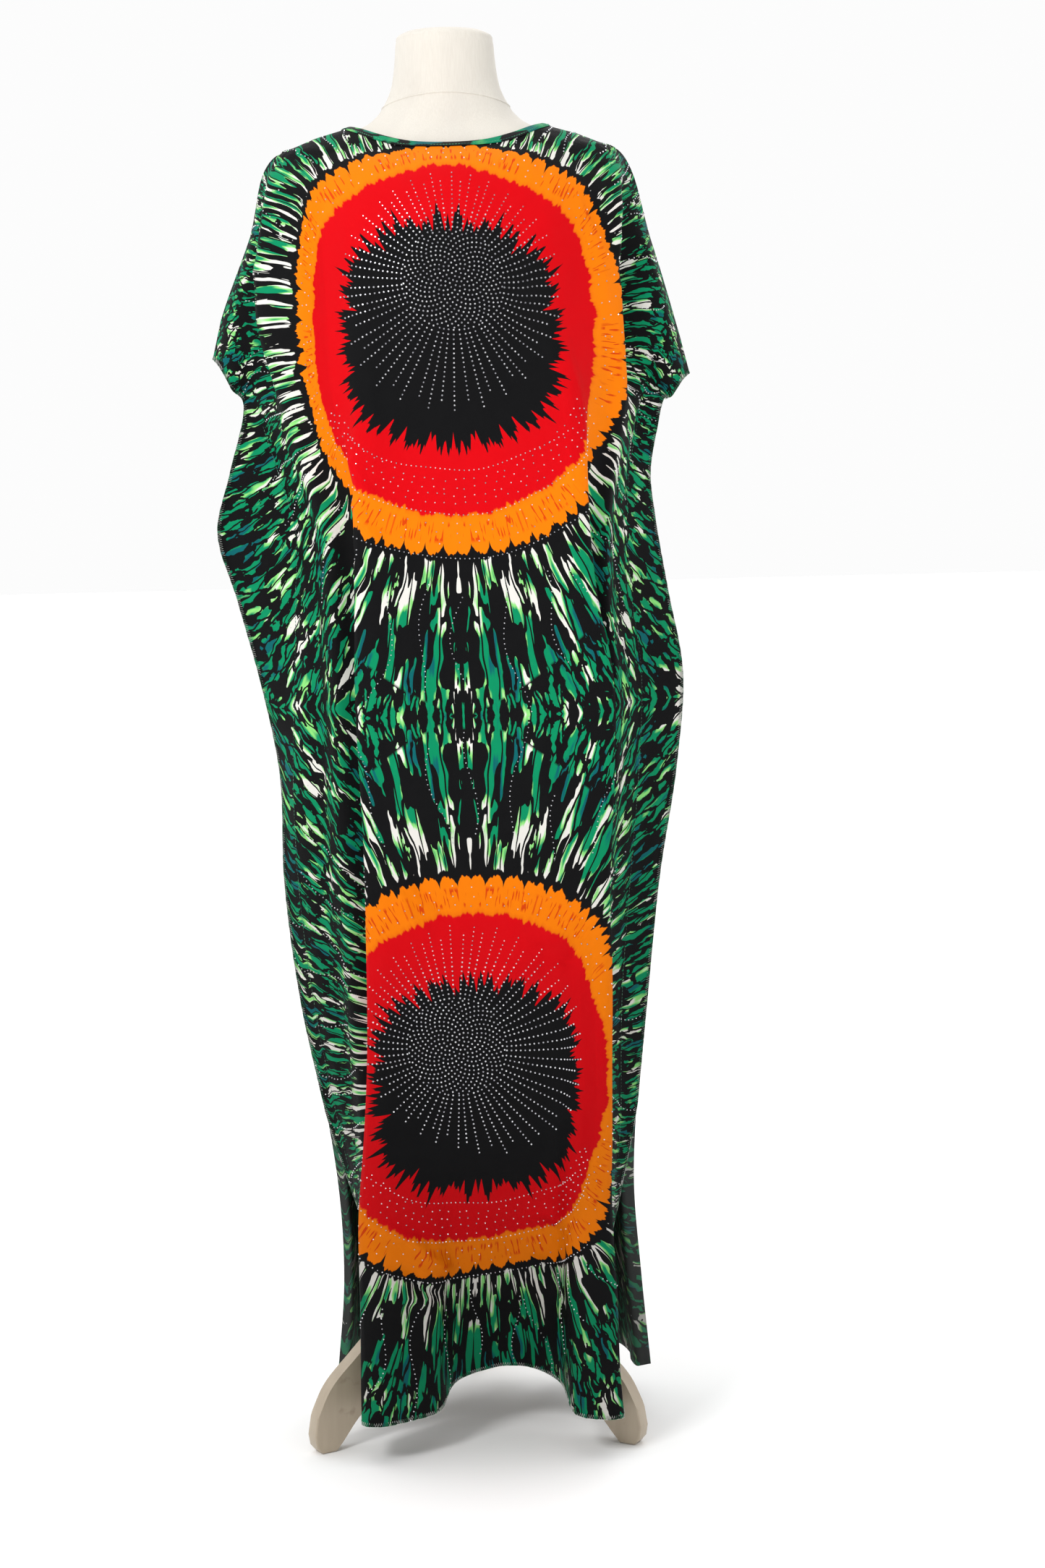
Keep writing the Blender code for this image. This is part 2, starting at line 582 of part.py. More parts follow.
def wall_mesh(inner, outer, mirrored):
    """Points and triangles of the closed wall between two grids, both cut along the same diagonals.

    A mirrored pair has its columns from right to left, and the same diagonals as one that hasn't.
    """
    rows, cols = inner.shape[:2]
    points = np.concatenate([inner.reshape(-1, 3), outer.reshape(-1, 3)])
    index = np.arange(rows * cols).reshape(rows, cols)
    a, b = index[:-1, :-1].ravel(), index[:-1, 1:].ravel()
    c, d = index[1:, 1:].ravel(), index[1:, :-1].ravel()
    if mirrored:
        inside = np.concatenate([np.column_stack([a, b, d]), np.column_stack([b, c, d])])
    else:
        inside = np.concatenate([np.column_stack([a, b, c]), np.column_stack([a, c, d])])
    outside = inside[:, ::-1] + rows * cols
    rim = np.concatenate([index[0, :-1], index[:-1, -1], index[-1, :0:-1], index[:0:-1, 0]])
    after = np.roll(rim, -1)
    far, far_after = rim + rows * cols, after + rows * cols
    edge = np.concatenate([np.column_stack([after, rim, far]), np.column_stack([after, far, far_after])])
    faces = np.concatenate([inside, outside, edge])
    return points, faces


def clear_of_form(sheet, form):
    """Moves the points that lie too near the form, or inside it, out to the least distance."""
    tree = BVHTree.FromPolygons(
        [v.co.copy() for v in form.data.vertices], [tuple(p.vertices) for p in form.data.polygons]
    )
    flat = sheet.reshape(-1, 3)
    for point in flat:
        near, normal, _, _ = tree.find_nearest(Vector(point))
        away = (Vector(point) - near).dot(normal)
        if away < FORM_GAP and (Vector(point) - near).length < NEAR_FORM:
            point[:] = near + normal * FORM_GAP
    return sheet


def keep_sides_apart(sheet, front):
    """Keeps the cloth near the shoulder line on its own panel's side of the seam."""
    limit = SEAM_GAP / 2
    top = sheet[:2]
    top[:, :, 1] = np.minimum(top[:, :, 1], -limit) if front else np.maximum(top[:, :, 1], limit)
    return sheet


def torso(cover):
    """The form's body with its neck: level rings from its cut bottom to the neck's rounded top."""
    rings = {name: column[:, None] for name, column in columns(FORM_COLUMNS, FORM).items()}
    turn = np.arange(FORM_SIDES) * 2 * np.pi / FORM_SIDES
    c, s = np.cos(turn), np.sin(turn)
    x = rings["half_width"] * np.sign(c) * np.abs(c) ** (2 / rings["power"])
    y = np.where(s < 0, rings["front"], rings["back"]) * np.sign(s) * np.abs(s) ** (2 / rings["power"])
    points = np.stack([x, y, np.broadcast_to(rings["z"], x.shape)], axis=2).reshape(-1, 3)
    faces = []
    for low in range(0, len(points) - FORM_SIDES, FORM_SIDES):
        high = low + FORM_SIDES
        for i in range(FORM_SIDES):
            j = (i + 1) % FORM_SIDES
            faces.append((low + i, low + j, high + j, high + i))
    faces.append(tuple(range(FORM_SIDES))[::-1])
    faces.append(tuple(range(len(points) - FORM_SIDES, len(points))))
    return add_mesh("form_torso", points, faces, cover)


def grid_tree(sheet):
    """A search tree of a grid's triangles."""
    rows, cols = sheet.shape[:2]
    index = np.arange(rows * cols).reshape(rows, cols)
    a, b, c, d = (part.ravel() for part in (index[:-1, :-1], index[:-1, 1:], index[1:, 1:], index[1:, :-1]))
    faces = np.concatenate([np.column_stack([a, b, c]), np.column_stack([a, c, d])])
    return BVHTree.FromPolygons([Vector(p) for p in sheet.reshape(-1, 3)], faces.tolist())


def height_over(trees, x, y):
    """How high the panels' outside lies at a place, or None where there is no cloth."""
    hits = [tree.ray_cast(Vector((x, y, 2.0)), Vector((0, 0, -1)))[0] for tree in trees]
    heights = [hit[2] for hit in hits if hit is not None]
    return max(heights) if heights else None


def neck_band(front_out, back_out, cover):
    """The bound neck edge: a strip all round the neckline, lifted off the outside of both panels.

    From each point of the neckline a walk goes straight out from the oval, down the panels, and the
    strip's points are taken from it at their shares of the band's width.
    """
    side, back_side = sum(SIDE_CELLS), sum(BACK_SIDE_CELLS)
    front_loop = front_out[0, side : front_out.shape[1] - side]
    back_loop = back_out[0, back_side + 1 : back_out.shape[1] - back_side - 1][::-1]
    loop = np.concatenate([front_loop, back_loop])
    trees = [grid_tree(front_out), grid_tree(back_out)]
    depth = np.where(loop[:, 1] < 0, FRONT_NECK[0], BACK_NECK[0])
    outward = unit(np.column_stack([loop[:, 0] / NECK_CORNER[0] ** 2, loop[:, 1] / depth**2]))
    strip = np.empty((len(loop), len(BAND_SHARES), 3))
    for k, start in enumerate(loop):
        path, gone = [start], [0.0]
        while gone[-1] < NECK_BAND:
            x, y = path[-1][:2] + BAND_STEP * outward[k]
            z = height_over(trees, x, y)
            path.append(np.array([x, y, path[-1][2] if z is None else z]))
            gone.append(gone[-1] + np.linalg.norm(path[-1] - path[-2]))
        for axis in range(3):
            strip[k, :, axis] = np.interp(NECK_BAND * np.array(BAND_SHARES), gone, [p[axis] for p in path])
    for _ in range(BAND_SMOOTHINGS):
        strip = (np.roll(strip, 1, axis=0) + 2 * strip + np.roll(strip, -1, axis=0)) / 4
    ahead = np.roll(strip, -1, axis=0) - np.roll(strip, 1, axis=0)
    up = unit(np.cross(ahead, np.gradient(strip, axis=1)))
    up *= np.sign(up[:, :, 2:])
    lift = np.full(strip.shape[:2] + (1,), BAND_LIFT)
    for _ in range(BAND_LIFTS):
        points, faces = band_mesh(strip + (lift - BAND_CLEAR) * up, strip + lift * up)
        tree = BVHTree.FromPolygons([Vector(p) for p in points], faces)
        touching = [face for panel in trees for face, _ in tree.overlap(panel)]
        near = {corner % lift.size for face in touching for corner in faces[face]}
        lift.reshape(-1)[sorted(near)] += BAND_RAISE
    under = strip + lift * up
    add_mesh("neck_band", *band_mesh(under, under + BAND_CLOTH * up), cover)


def band_mesh(under, over):
    """Points and triangles of the closed ring between the strip's under and over side."""
    count, wide = under.shape[:2]
    top = count * wide
    faces = []
    for k in range(count):
        n = (k + 1) % count
        for w in range(wide - 1):
            a, b = k * wide + w, k * wide + w + 1
            c, d = n * wide + w + 1, n * wide + w
            faces += [(c, b, a), (d, c, a), (a + top, b + top, c + top), (a + top, c + top, d + top)]
        for w, turn in ((0, -1), (wide - 1, 1)):
            a, d = k * wide + w, n * wide + w
            faces += [face[::turn] for face in ((a, d, d + top), (a, d + top, a + top))]
    return np.concatenate([under.reshape(-1, 3), over.reshape(-1, 3)]), faces


def leg_outline():
    """The leg's outline in its own plane, counter-clockwise from the hub's top."""
    def smooth(rows):
        rows = np.array(rows)
        knots = np.concatenate([[0], np.cumsum(np.linalg.norm(np.diff(rows, axis=0), axis=1))])
        where = np.concatenate(
            [np.linspace(a, b, LEG_CURVE_STEPS, endpoint=False) for a, b in zip(knots[:-1], knots[1:])]
        )
        return down_spline(knots, rows[:, None, :], np.append(where, knots[-1]))[:, 0]

    outline = np.concatenate([smooth(LEG_TOP_EDGE), LEG_FOOT, smooth(LEG_UNDER_EDGE)])
    return outline[::-1]


def leg(name, degrees, cover):
    """One slab leg, from the hub out to its foot."""
    outline = leg_outline()
    count = len(outline)
    half = LEG_THICKNESS / 2
    points = [(r, -half, z) for r, z in outline] + [(r, half, z) for r, z in outline]
    faces = [tuple(range(count)), tuple(range(2 * count - 1, count - 1, -1))]
    for i in range(count):
        j = (i + 1) % count
        faces.append((j, i, i + count, j + count))
    turn = np.radians(degrees)
    spin = np.array([[np.cos(turn), -np.sin(turn), 0], [np.sin(turn), np.cos(turn), 0], [0, 0, 1]])
    return add_mesh(name, np.array(points) @ spin.T, faces, cover)


def turned(name, profile, cover, sides=24):
    """A solid of revolution about the axis, from (radius, height) pairs from bottom to top."""
    turn = np.arange(sides) * 2 * np.pi / sides
    points = [(r * np.cos(a), r * np.sin(a), z) for r, z in profile for a in turn]
    faces = [tuple(range(sides))[::-1]]
    for k in range(len(profile) - 1):
        for i in range(sides):
            j = (i + 1) % sides
            faces.append((k * sides + i, k * sides + j, (k + 1) * sides + j, (k + 1) * sides + i))
    faces.append(tuple(range((len(profile) - 1) * sides, len(profile) * sides)))
    return add_mesh(name, points, faces, cover)


def stand(cover):
    for name, degrees in LEGS:
        leg(name, degrees, cover)
    edge = HUB_RADIUS - HUB_ROUND
    low, high = HUB_BOTTOM + HUB_ROUND, HUB_TOP - HUB_ROUND
    profile = ((edge, HUB_BOTTOM), (HUB_RADIUS, low), (HUB_RADIUS, high), (edge, HUB_TOP))
    turned("stand_hub", profile, cover)
    turned("stand_pole", ((POLE_RADIUS, HUB_TOP + TOUCH), (POLE_RADIUS, FORM[0][0] - TOUCH)), cover)


def dress(form):
    """Both panels as closed walls, half the seam's gap to each side of the shared lines, and the band."""
    cloth = material("printed_cloth")
    front = clear_of_form(panel(front_net(), SIDE_CELLS, FACE_CELLS, ROW_CELLS), form)
    front += SEAM_GAP / 2 * normals(front, -1, False)
    front = keep_sides_apart(front, True)
    back = panel(back_net(), BACK_SIDE_CELLS, BACK_FACE_CELLS, ROW_CELLS)
    back = clear_of_form(lay_over_leg(back), form)
    back += SEAM_GAP / 2 * normals(back, 1, False)
    back = keep_sides_apart(back, False)
    front_out = front + CLOTH * normals(front, -1, True)
    back_out = back + CLOTH * normals(back, 1, True)
    add_mesh("dress_front", *wall_mesh(front, front_out, False), cloth)
    add_mesh("dress_back", *wall_mesh(back[:, ::-1], back_out[:, ::-1], True), cloth)
    neck_band(front_out, back_out, material("neck_cloth"))


def centre_on_floor():
    """Moves everything so that the footprint's middle is the origin and the feet stand on z = 0."""
    solids = [thing for thing in bpy.data.objects if thing.type == "MESH"]
    points = np.array([v.co for thing in solids for v in thing.data.vertices])
    low, high = points.min(axis=0), points.max(axis=0)
    move = Vector((-(low[0] + high[0]) / 2, -(low[1] + high[1]) / 2, -low[2]))
    for thing in solids:
        for vertex in thing.data.vertices:
            vertex.co += move


def main():
    clear_scene()
    form = torso(material("form_cover"))
    stand(material("painted_wood"))
    dress(form)
    centre_on_floor()


main()
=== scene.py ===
"""The baati dress on its dress form: cloth, print, stones, form and stand, lit and framed as in the photo."""

import bmesh
import bpy
import numpy as np
from mathutils import Matrix, Vector
from mathutils.bvhtree import BVHTree
from mathutils.geometry import barycentric_transform


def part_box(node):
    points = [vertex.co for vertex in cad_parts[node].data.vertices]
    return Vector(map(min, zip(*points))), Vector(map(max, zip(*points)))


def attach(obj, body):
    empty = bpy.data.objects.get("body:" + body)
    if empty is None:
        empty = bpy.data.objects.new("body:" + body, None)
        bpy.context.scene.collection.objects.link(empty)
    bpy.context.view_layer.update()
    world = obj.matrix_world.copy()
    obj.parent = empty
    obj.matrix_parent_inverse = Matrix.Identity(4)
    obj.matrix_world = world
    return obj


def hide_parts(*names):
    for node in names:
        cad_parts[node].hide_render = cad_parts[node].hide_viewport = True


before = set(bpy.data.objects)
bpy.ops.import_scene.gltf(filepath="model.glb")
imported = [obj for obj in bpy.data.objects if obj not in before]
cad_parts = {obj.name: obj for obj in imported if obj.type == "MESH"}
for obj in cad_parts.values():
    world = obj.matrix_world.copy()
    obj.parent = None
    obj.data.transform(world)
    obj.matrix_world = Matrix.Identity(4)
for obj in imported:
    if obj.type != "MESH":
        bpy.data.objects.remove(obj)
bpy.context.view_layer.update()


def columns(names, rows):
    """A table's columns by name."""
    return dict(zip(names.split(), np.array(rows).T))


def by_line(names, rows):
    """A table's rows by the name of their line, each with its other columns by name."""
    return {line: dict(zip(names.split(), values)) for line, *values in rows}


# Lengths are in metres
SEAM_GAP = 0.0004  # between the front and the back panel where they are sewn
FORM_GAP = 0.0044  # least distance of a panel's points from the form's facets
NEAR_FORM = 0.06  # how deep inside the form a point may lie to be moved out of it
MITRE_LIMIT = 0.6  # the least cosine of half a fold's turn that a mitre follows

# Heights
ABOVE_ALL = 2.0  # from where height_over looks down
HEM_HEIGHT = 0.046
SLIT_TOP = 0.300
SLEEVE_FOOT = 1.130  # height of the section where the sleeves' mouths end
TOP_TO_SLEEVE_FOOT = 0.320  # cloth between the shoulder line and that section
YOKE_SHARES = (0.0, 0.16, 0.52)  # where the net's rows above that section lie in it
YOKE_ROWS = len(YOKE_SHARES)
HIGH_SHARES = (0.30, 0.56, 0.19)  # of its way in x, y and z that a line has gone in the second row

# The shoulder line, on which both panels start: x and z of each line's upper end
NECK_CORNER = (0.1065, 1.4478)
SHOULDER = {
    "mid": (0.163, 1.4305), "valley": (0.142, 1.4378), "behind": (0.128, 1.4420), "fold": (0.117, 1.4450),
    "before": NECK_CORNER,
}
LEFT_SLEEVE = (
    ("edge", 0.2616, 1.204, 0.2415, 0.026, 1.172),
    ("seam", 0.2510, 1.247, 0.2360, 0.032, 1.192),
    ("out", 0.2165, 1.335, 0.2190, 0.036, 1.232),
    ("sleeve_valley", 0.2000, 1.403, 0.1800, 0.046, 1.252),
    ("sleeve_fold", 0.1860, 1.421, 0.2070, 0.066, 1.262),
)
RIGHT_SLEEVE = (
    ("edge", 0.2605, 1.178, 0.2400, 0.024, 1.154),
    ("seam", 0.2500, 1.220, 0.2340, 0.032, 1.176),
    ("out", 0.2190, 1.328, 0.2160, 0.036, 1.222),
    ("sleeve_valley", 0.2000, 1.400, 0.1560, 0.050, 1.250),
    ("sleeve_fold", 0.1860, 1.421, 0.1820, 0.080, 1.262),
)
SLEEVE = {
    side: by_line("top_x top_z low_x low_y low_z", rows)
    for side, rows in ((-1, LEFT_SLEEVE), (1, RIGHT_SLEEVE))
}
# The body layer's lines in the third row, all at one height: distance from the middle, and depth
YOKE_LOW_HEIGHT = 1.270
YOKE_LOW = {
    "mid": (0.168, 0.094), "valley": (0.135, 0.116), "behind": (0.116, 0.129), "fold": (0.104, 0.137),
    "before": (0.092, 0.142),
}
CHEST = 0.149  # depth of the front panel's middle there
CHEST_HALF = 0.074  # half width of its middle lines there
CHEST_ROUND = 0.9  # how fast its depth falls off sideways

# The neckline is an oval: its depth before and behind the axis, and its height there
FRONT_NECK = (0.0830, 1.4215)
BACK_NECK = (0.0710, 1.4375)
NECK_DROP = 1.3  # power of the neckline's fall from its corners
FRONT_NECK_DEGREES = (22, 43, 66, 90, 114, 137, 158)  # where the front's lines start on it
BACK_NECK_DEGREES = (40, 90, 140)

# Level sections of the front panel. Fold, seam and edge are distances from the middle; tuck_in and
# tuck_back say how far the cloth runs inward and back behind the fold before it comes out again.
LEFT_SIDE = (
    (1.130, 0.1020, -0.020, 0.022, 0.2080, -0.014, 0.2325, -0.002),
    (1.070, 0.1035, -0.002, 0.025, 0.1900, -0.022, 0.2500, 0.000),
    (1.020, 0.1050, 0.012, 0.029, 0.1760, -0.026, 0.2635, 0.006),
    (0.940, 0.1070, 0.024, 0.036, 0.1775, -0.026, 0.2445, 0.010),
    (0.850, 0.1095, 0.032, 0.042, 0.1810, -0.024, 0.2220, 0.012),
    (0.750, 0.1090, 0.038, 0.048, 0.1860, -0.020, 0.2035, 0.010),
    (0.620, 0.1070, 0.042, 0.052, 0.1840, -0.016, 0.2012, 0.006),
    (0.480, 0.1085, 0.042, 0.054, 0.1700, -0.014, 0.1860, 0.002),
    (0.360, 0.1130, 0.036, 0.052, 0.1500, -0.012, 0.1630, 0.000),
    (0.270, 0.1215, 0.024, 0.048, 0.1420, -0.010, 0.1520, 0.000),
    (0.160, 0.1220, 0.008, 0.042, 0.1400, -0.010, 0.1495, 0.000),
    (0.046, 0.1235, 0.000, 0.036, 0.1480, -0.010, 0.1600, 0.000),
)
RIGHT_SIDE = (
    (1.130, 0.1365, -0.010, 0.022, 0.2020, -0.014, 0.2260, -0.002),
    (1.070, 0.1375, 0.002, 0.026, 0.1900, -0.022, 0.2155, 0.002),
    (1.020, 0.1385, 0.013, 0.031, 0.1870, -0.026, 0.2205, 0.006),
    (0.940, 0.1460, 0.026, 0.038, 0.1900, -0.026, 0.2335, 0.010),
    (0.850, 0.1620, 0.036, 0.044, 0.2000, -0.022, 0.2487, 0.012),
    (0.750, 0.1625, 0.040, 0.048, 0.1960, -0.018, 0.2410, 0.012),
    (0.620, 0.1545, 0.042, 0.052, 0.1840, -0.014, 0.2190, 0.010),
    (0.480, 0.1525, 0.042, 0.054, 0.1720, -0.012, 0.2025, 0.008),
    (0.360, 0.1520, 0.038, 0.052, 0.1690, -0.010, 0.1890, 0.006),
    (0.270, 0.1490, 0.026, 0.048, 0.1700, -0.008, 0.1845, 0.004),
    (0.160, 0.1545, 0.010, 0.036, 0.1760, -0.006, 0.1915, 0.004),
    (0.046, 0.1570, 0.000, 0.018, 0.1860, -0.004, 0.2015, 0.004),
)
SIDE = {
    side: columns("z fold tuck_in tuck_back seam seam_y edge edge_y", rows)
    for side, rows in ((-1, LEFT_SIDE), (1, RIGHT_SIDE))
}
HEIGHTS = SIDE[1]["z"]
# The fold's lip: its width, how far behind the face it turns, the cloth's depth behind it and in the
# valley beyond that of tuck_back, and the shares of tuck_in and tuck_back at the line behind it
LIP_WIDTH = 0.014
LIP_TURN = 0.006
BEHIND_TURN, VALLEY_TURN = 0.012, 0.010
BEHIND_IN, BEHIND_BACK = 0.45, 0.30
# The cloth from the valley to the seam: how far it puffs out, and how deep its ripples are
WAVES = columns("z puff ripple", (
    (1.130, 0.0160, 0.004),
    (0.940, 0.0145, 0.010),
    (0.480, 0.0110, 0.010),
    (0.360, 0.0100, 0.005),
    (0.046, 0.0000, 0.000),
))
PUFF_OUTWARD = 0.5  # sideways share of the puff
SIDE_LINES = by_line("share puff ripple", (
    ("mid", 0.26, 0.4, 0.3),
    ("sleeve_fold", 0.50, 1.0, -1.0),
    ("sleeve_valley", 0.68, 0.8, 0.7),
    ("out", 0.86, 0.4, 0.1),
))
FRONT_SIDE_ORDER = (
    "edge", "seam", "out", "sleeve_valley", "sleeve_fold", "mid", "valley", "behind", "fold", "before",
)
# Depth of the front panel's face, and how far its middle is drawn back towards the hem
FACE = columns("z face cleft", (
    (1.130, 0.152, 0.000),
    (0.850, 0.155, 0.000),
    (0.620, 0.156, 0.000),
    (0.480, 0.156, 0.004),
    (0.360, 0.157, 0.016),
    (0.270, 0.157, 0.036),
    (0.160, 0.157, 0.070),
    (0.046, 0.157, 0.104),
))
# The cleft's lines: place across below the bust and at the hem, share of the cleft's depth, how far
# the cloth leans back there, and how far the hem is raised
CLEFT_LINES = (
    (-0.072, -0.074, 0.00, 0.016, 0.000),
    (-0.050, -0.040, 0.10, 0.030, 0.002),
    (-0.026, -0.026, 0.78, 0.000, 0.020),
    (0.014, 0.010, 1.00, 0.000, 0.028),
    (0.050, 0.056, 1.00, 0.000, 0.030),
    (0.086, 0.094, 0.72, 0.000, 0.020),
    (0.112, 0.107, 0.12, 0.000, 0.002),
)
CLEFT_POWER = 0.6  # how soon the middle lines take their places at the hem
HEM_RAISE_FROM = 0.36  # height at which the middle of the hem starts to be raised
# Below the slits' tops each panel goes its own way, the front one turned in before the legs. These are
# the moves of its seam and of its free edge at the hem, in x and y, on the left (-1) and the right (1)
FRONT_SLIT = {
    -1: {"seam": (0.058, -0.092), "edge": (0.090, -0.092)},
    1: {"seam": (-0.046, -0.116), "edge": (-0.085, -0.125)},
}
BACK_SLIT = {side: {"seam": (0.000, 0.030), "edge": (0.000, 0.030)} for side in (-1, 1)}
SLIT_POWER = 0.75  # how soon a slit opens below its top

# The back panel: depth, and the depth of its soft pleats
BACK = columns("z depth pleat", (
    (1.130, 0.112, 0.006),
    (0.850, 0.118, 0.016),
    (0.620, 0.122, 0.022),
    (0.360, 0.124, 0.026),
    (0.046, 0.126, 0.030),
))
# The back's lines between the seam and the middle: share of the seam's distance from the middle,
# share of the back's depth, and share of the pleat's depth by which the line lies in or out
LEFT_BACK_LINES = (
    ("out", 0.965, 0.22, 0.00),
    ("flank", 0.950, 0.60, 0.00),
    ("mid", 0.820, 0.97, 0.30),
    ("valley", 0.640, 0.92, -1.00),
    ("ridge", 0.450, 1.00, 0.60),
    ("neck", 0.310, 0.97, -0.30),
)
RIGHT_BACK_LINES = (
    ("out", 0.965, 0.22, 0.00),
    ("flank", 0.960, 0.58, 0.00),
    ("mid", 0.860, 0.94, 0.10),
    ("valley", 0.700, 0.94, -0.70),
    ("ridge", 0.520, 1.00, 0.50),
    ("neck", 0.360, 0.96, -0.75),
)
BACK_LINES = {
    side: by_line("across depth pleat", rows) for side, rows in ((-1, LEFT_BACK_LINES), (1, RIGHT_BACK_LINES))
}
BACK_INNER = (0.034, 0.35, -0.6)  # place across, and the pleat's share there and in the middle
BACK_INNER_LOW = (0.038, 0.116)  # place and depth of those lines at YOKE_LOW_HEIGHT
# The back's lines above the sleeves' foot: the front's line at whose upper end each starts, and its
# place in the third row
BACK_YOKE = {
    "flank": ("sleeve_fold", 0.200, 0.066, 1.262),
    "mid": ("mid", 0.168, 0.090, 1.270),
    "valley": ("valley", 0.135, 0.103, 1.270),
    "ridge": ("behind", 0.104, 0.110, 1.270),
    "neck": ("before", 0.072, 0.113, 1.270),
}
BACK_SIDE_ORDER = ("edge", "seam", "out", "flank", "mid", "valley", "ridge", "neck")
# Where the back panel's hem lies on the rear leg: how wide, how far back and up it is moved
OVER_LEG_WIDTH = 0.036
OVER_LEG_BACK = 0.046
OVER_LEG_UP = 0.076
OVER_LEG_FROM = 0.30
OVER_LEG_POWER = 1.5
SMOOTH_DEPTH, SMOOTH_WIDTH = 0.08, 0.045  # how soon below that height, and how wide, creases end there

# Cells between the panels' lines, from an edge to the middle, and between the net's rows
SIDE_CELLS = (1, 1, 2, 2, 2, 2, 2, 2, 1)
FACE_CELLS = (3, 2, 2, 2, 2, 2, 2, 3)
BACK_SIDE_CELLS = (1, 2, 2, 2, 3, 3, 2)
BACK_FACE_CELLS = (4, 3, 3, 4)
ROW_CELLS = (3, 4, 3, 1, 1, 2, 2, 2, 2, 2, 2, 2, 3, 3)
# How many cells of the visible cloth go into each of those
FINE_ACROSS, FINE_DOWN = 3, 7
TOP_ROW = sum(ROW_CELLS[:YOKE_ROWS]) * FINE_DOWN  # the mesh's row at the sleeves' foot
SHELL = (0.0002, 0.0012)  # of the shell's inner and outer side, out from the sheet
SHOULDER_EASE = 0.030  # creases fade out over so much cloth below the shoulder line

# The form: level rings, with half width, depth before and behind the axis, and roundness
FORM = columns("z half_width front back power", (
    (0.800, 0.148, 0.088, 0.088, 2.3),
    (0.812, 0.156, 0.095, 0.096, 2.3),
    (0.880, 0.160, 0.098, 0.102, 2.3),
    (0.960, 0.146, 0.094, 0.092, 2.3),
    (1.060, 0.118, 0.086, 0.076, 2.2),
    (1.140, 0.132, 0.104, 0.080, 2.2),
    (1.220, 0.148, 0.124, 0.088, 2.3),
    (1.300, 0.164, 0.116, 0.096, 2.4),
    (1.370, 0.180, 0.100, 0.097, 2.4),
    (1.400, 0.1850, 0.089, 0.091, 2.3),
    (1.4180, 0.1800, 0.0790, 0.082, 2.1),
    (1.4330, 0.1430, 0.0700, 0.073, 2.0),
    (1.4425, 0.1090, 0.0640, 0.0655, 2.0),
    (1.4510, 0.0890, 0.0600, 0.0610, 2.0),
    (1.4615, 0.0755, 0.0570, 0.0575, 2.0),
    (1.4740, 0.0670, 0.0545, 0.0545, 2.0),
    (1.4890, 0.0600, 0.0530, 0.0530, 2.0),
    (1.5070, 0.0562, 0.0520, 0.0520, 2.0),
    (1.5270, 0.0540, 0.0515, 0.0515, 2.0),
    (1.5390, 0.0528, 0.0505, 0.0505, 2.0),
    (1.5465, 0.0500, 0.0475, 0.0475, 2.0),
    (1.5500, 0.0425, 0.0400, 0.0400, 2.0),
))

# The legs: name and direction in degrees, then their outline, as distance from the axis and height
LEGS = (("leg_rear", 90.0), ("leg_left", 210.0), ("leg_right", 330.0))
LEG_THICKNESS = 0.019
LEG_TOP_EDGE = ((0.0303, 0.172), (0.075, 0.16), (0.12, 0.134), (0.16, 0.101), (0.192, 0.071), (0.209, 0.04))
LEG_FOOT = ((0.2125, 0.020), (0.2105, 0.008), (0.204, 0.0), (0.186, 0.0))
LEG_UNDER_EDGE = ((0.178, 0.010), (0.155, 0.036), (0.118, 0.060), (0.074, 0.080), (0.0303, 0.092))
LEG_CURVE_STEPS = 6
LEG_BEVEL = {"offset": 0.0022, "segments": 3, "profile": 0.6}

# The print, in metres of cloth: U across from the mirror line, V down from the shoulder. Its radii and
# streaks are named here. How many jags it has per radian, and how high they are, stands in print_and_painted_shade
PRINT_LINE = ((0.0, -0.001), (0.3, -0.001), (0.64, 0.003), (1.037, 0.012), (1.38, -0.005))  # V and x of that line
# Small gathers beside the suns hide some of the print, or spread it: how far the print runs ahead of the
# cloth at these distances across, in rows that start with their V
GATHER_AT = (-0.24, -0.172, -0.156, -0.138, -0.10, 0.09, 0.112, 0.125, 0.140, 0.160, 0.200, 0.235, 0.30)
GATHER = np.array((
    (0.030, 0, 0, 0, 0, 0, 0, 0, 0, 0, 0, 0, 0, 0),
    (0.100, -0.030, -0.030, -0.014, 0, 0, 0, 0, 0, 0.004, 0.012, 0.018, 0.018, 0.010),
    (0.200, -0.048, -0.048, -0.024, 0, 0, 0, 0, 0, 0.008, 0.019, 0.018, 0.014, 0.008),
    (0.300, -0.048, -0.048, -0.024, 0, 0, 0, 0, 0, 0.008, 0.018, 0.004, -0.006, 0),
    (0.370, -0.034, -0.030, -0.014, 0, 0, 0, 0, 0, 0.004, 0.010, 0, -0.004, 0),
    (0.450, -0.010, -0.010, 0, 0, 0, 0, 0, 0, 0, 0, 0, 0, 0),
    (0.550, 0, 0, 0, 0, 0, 0, 0, 0, 0, 0, 0, 0, 0),
    (0.830, 0, 0, 0, 0, 0, 0, 0, 0, 0, 0, 0, 0, 0),
    (0.920, 0, 0, 0, 0, 0, 0, 0.016, 0.036, 0.044, 0.046, 0.046, 0.046, 0.046),
    (1.120, 0, 0, 0, 0, 0, 0, 0.016, 0.040, 0.050, 0.052, 0.052, 0.052, 0.052),
    (1.230, 0, 0, 0, 0, 0, 0, 0, 0.004, 0.008, 0.008, 0.008, 0.008, 0.008),
))
SUN_V = 0.2345  # centre of the upper sunburst
REPEAT = 0.7965  # from the upper to the lower one
CORE_RADIUS, RED_RADIUS, ORANGE_RADIUS = 0.1390, 0.1815, 0.2270  # where black, red and orange end
DASHES_FROM, DASHES_TO = 0.1930, 0.2140  # radii between which the orange has dark dashes
FAR_FROM = 0.400  # radius at which the near streaks give way to the far ones
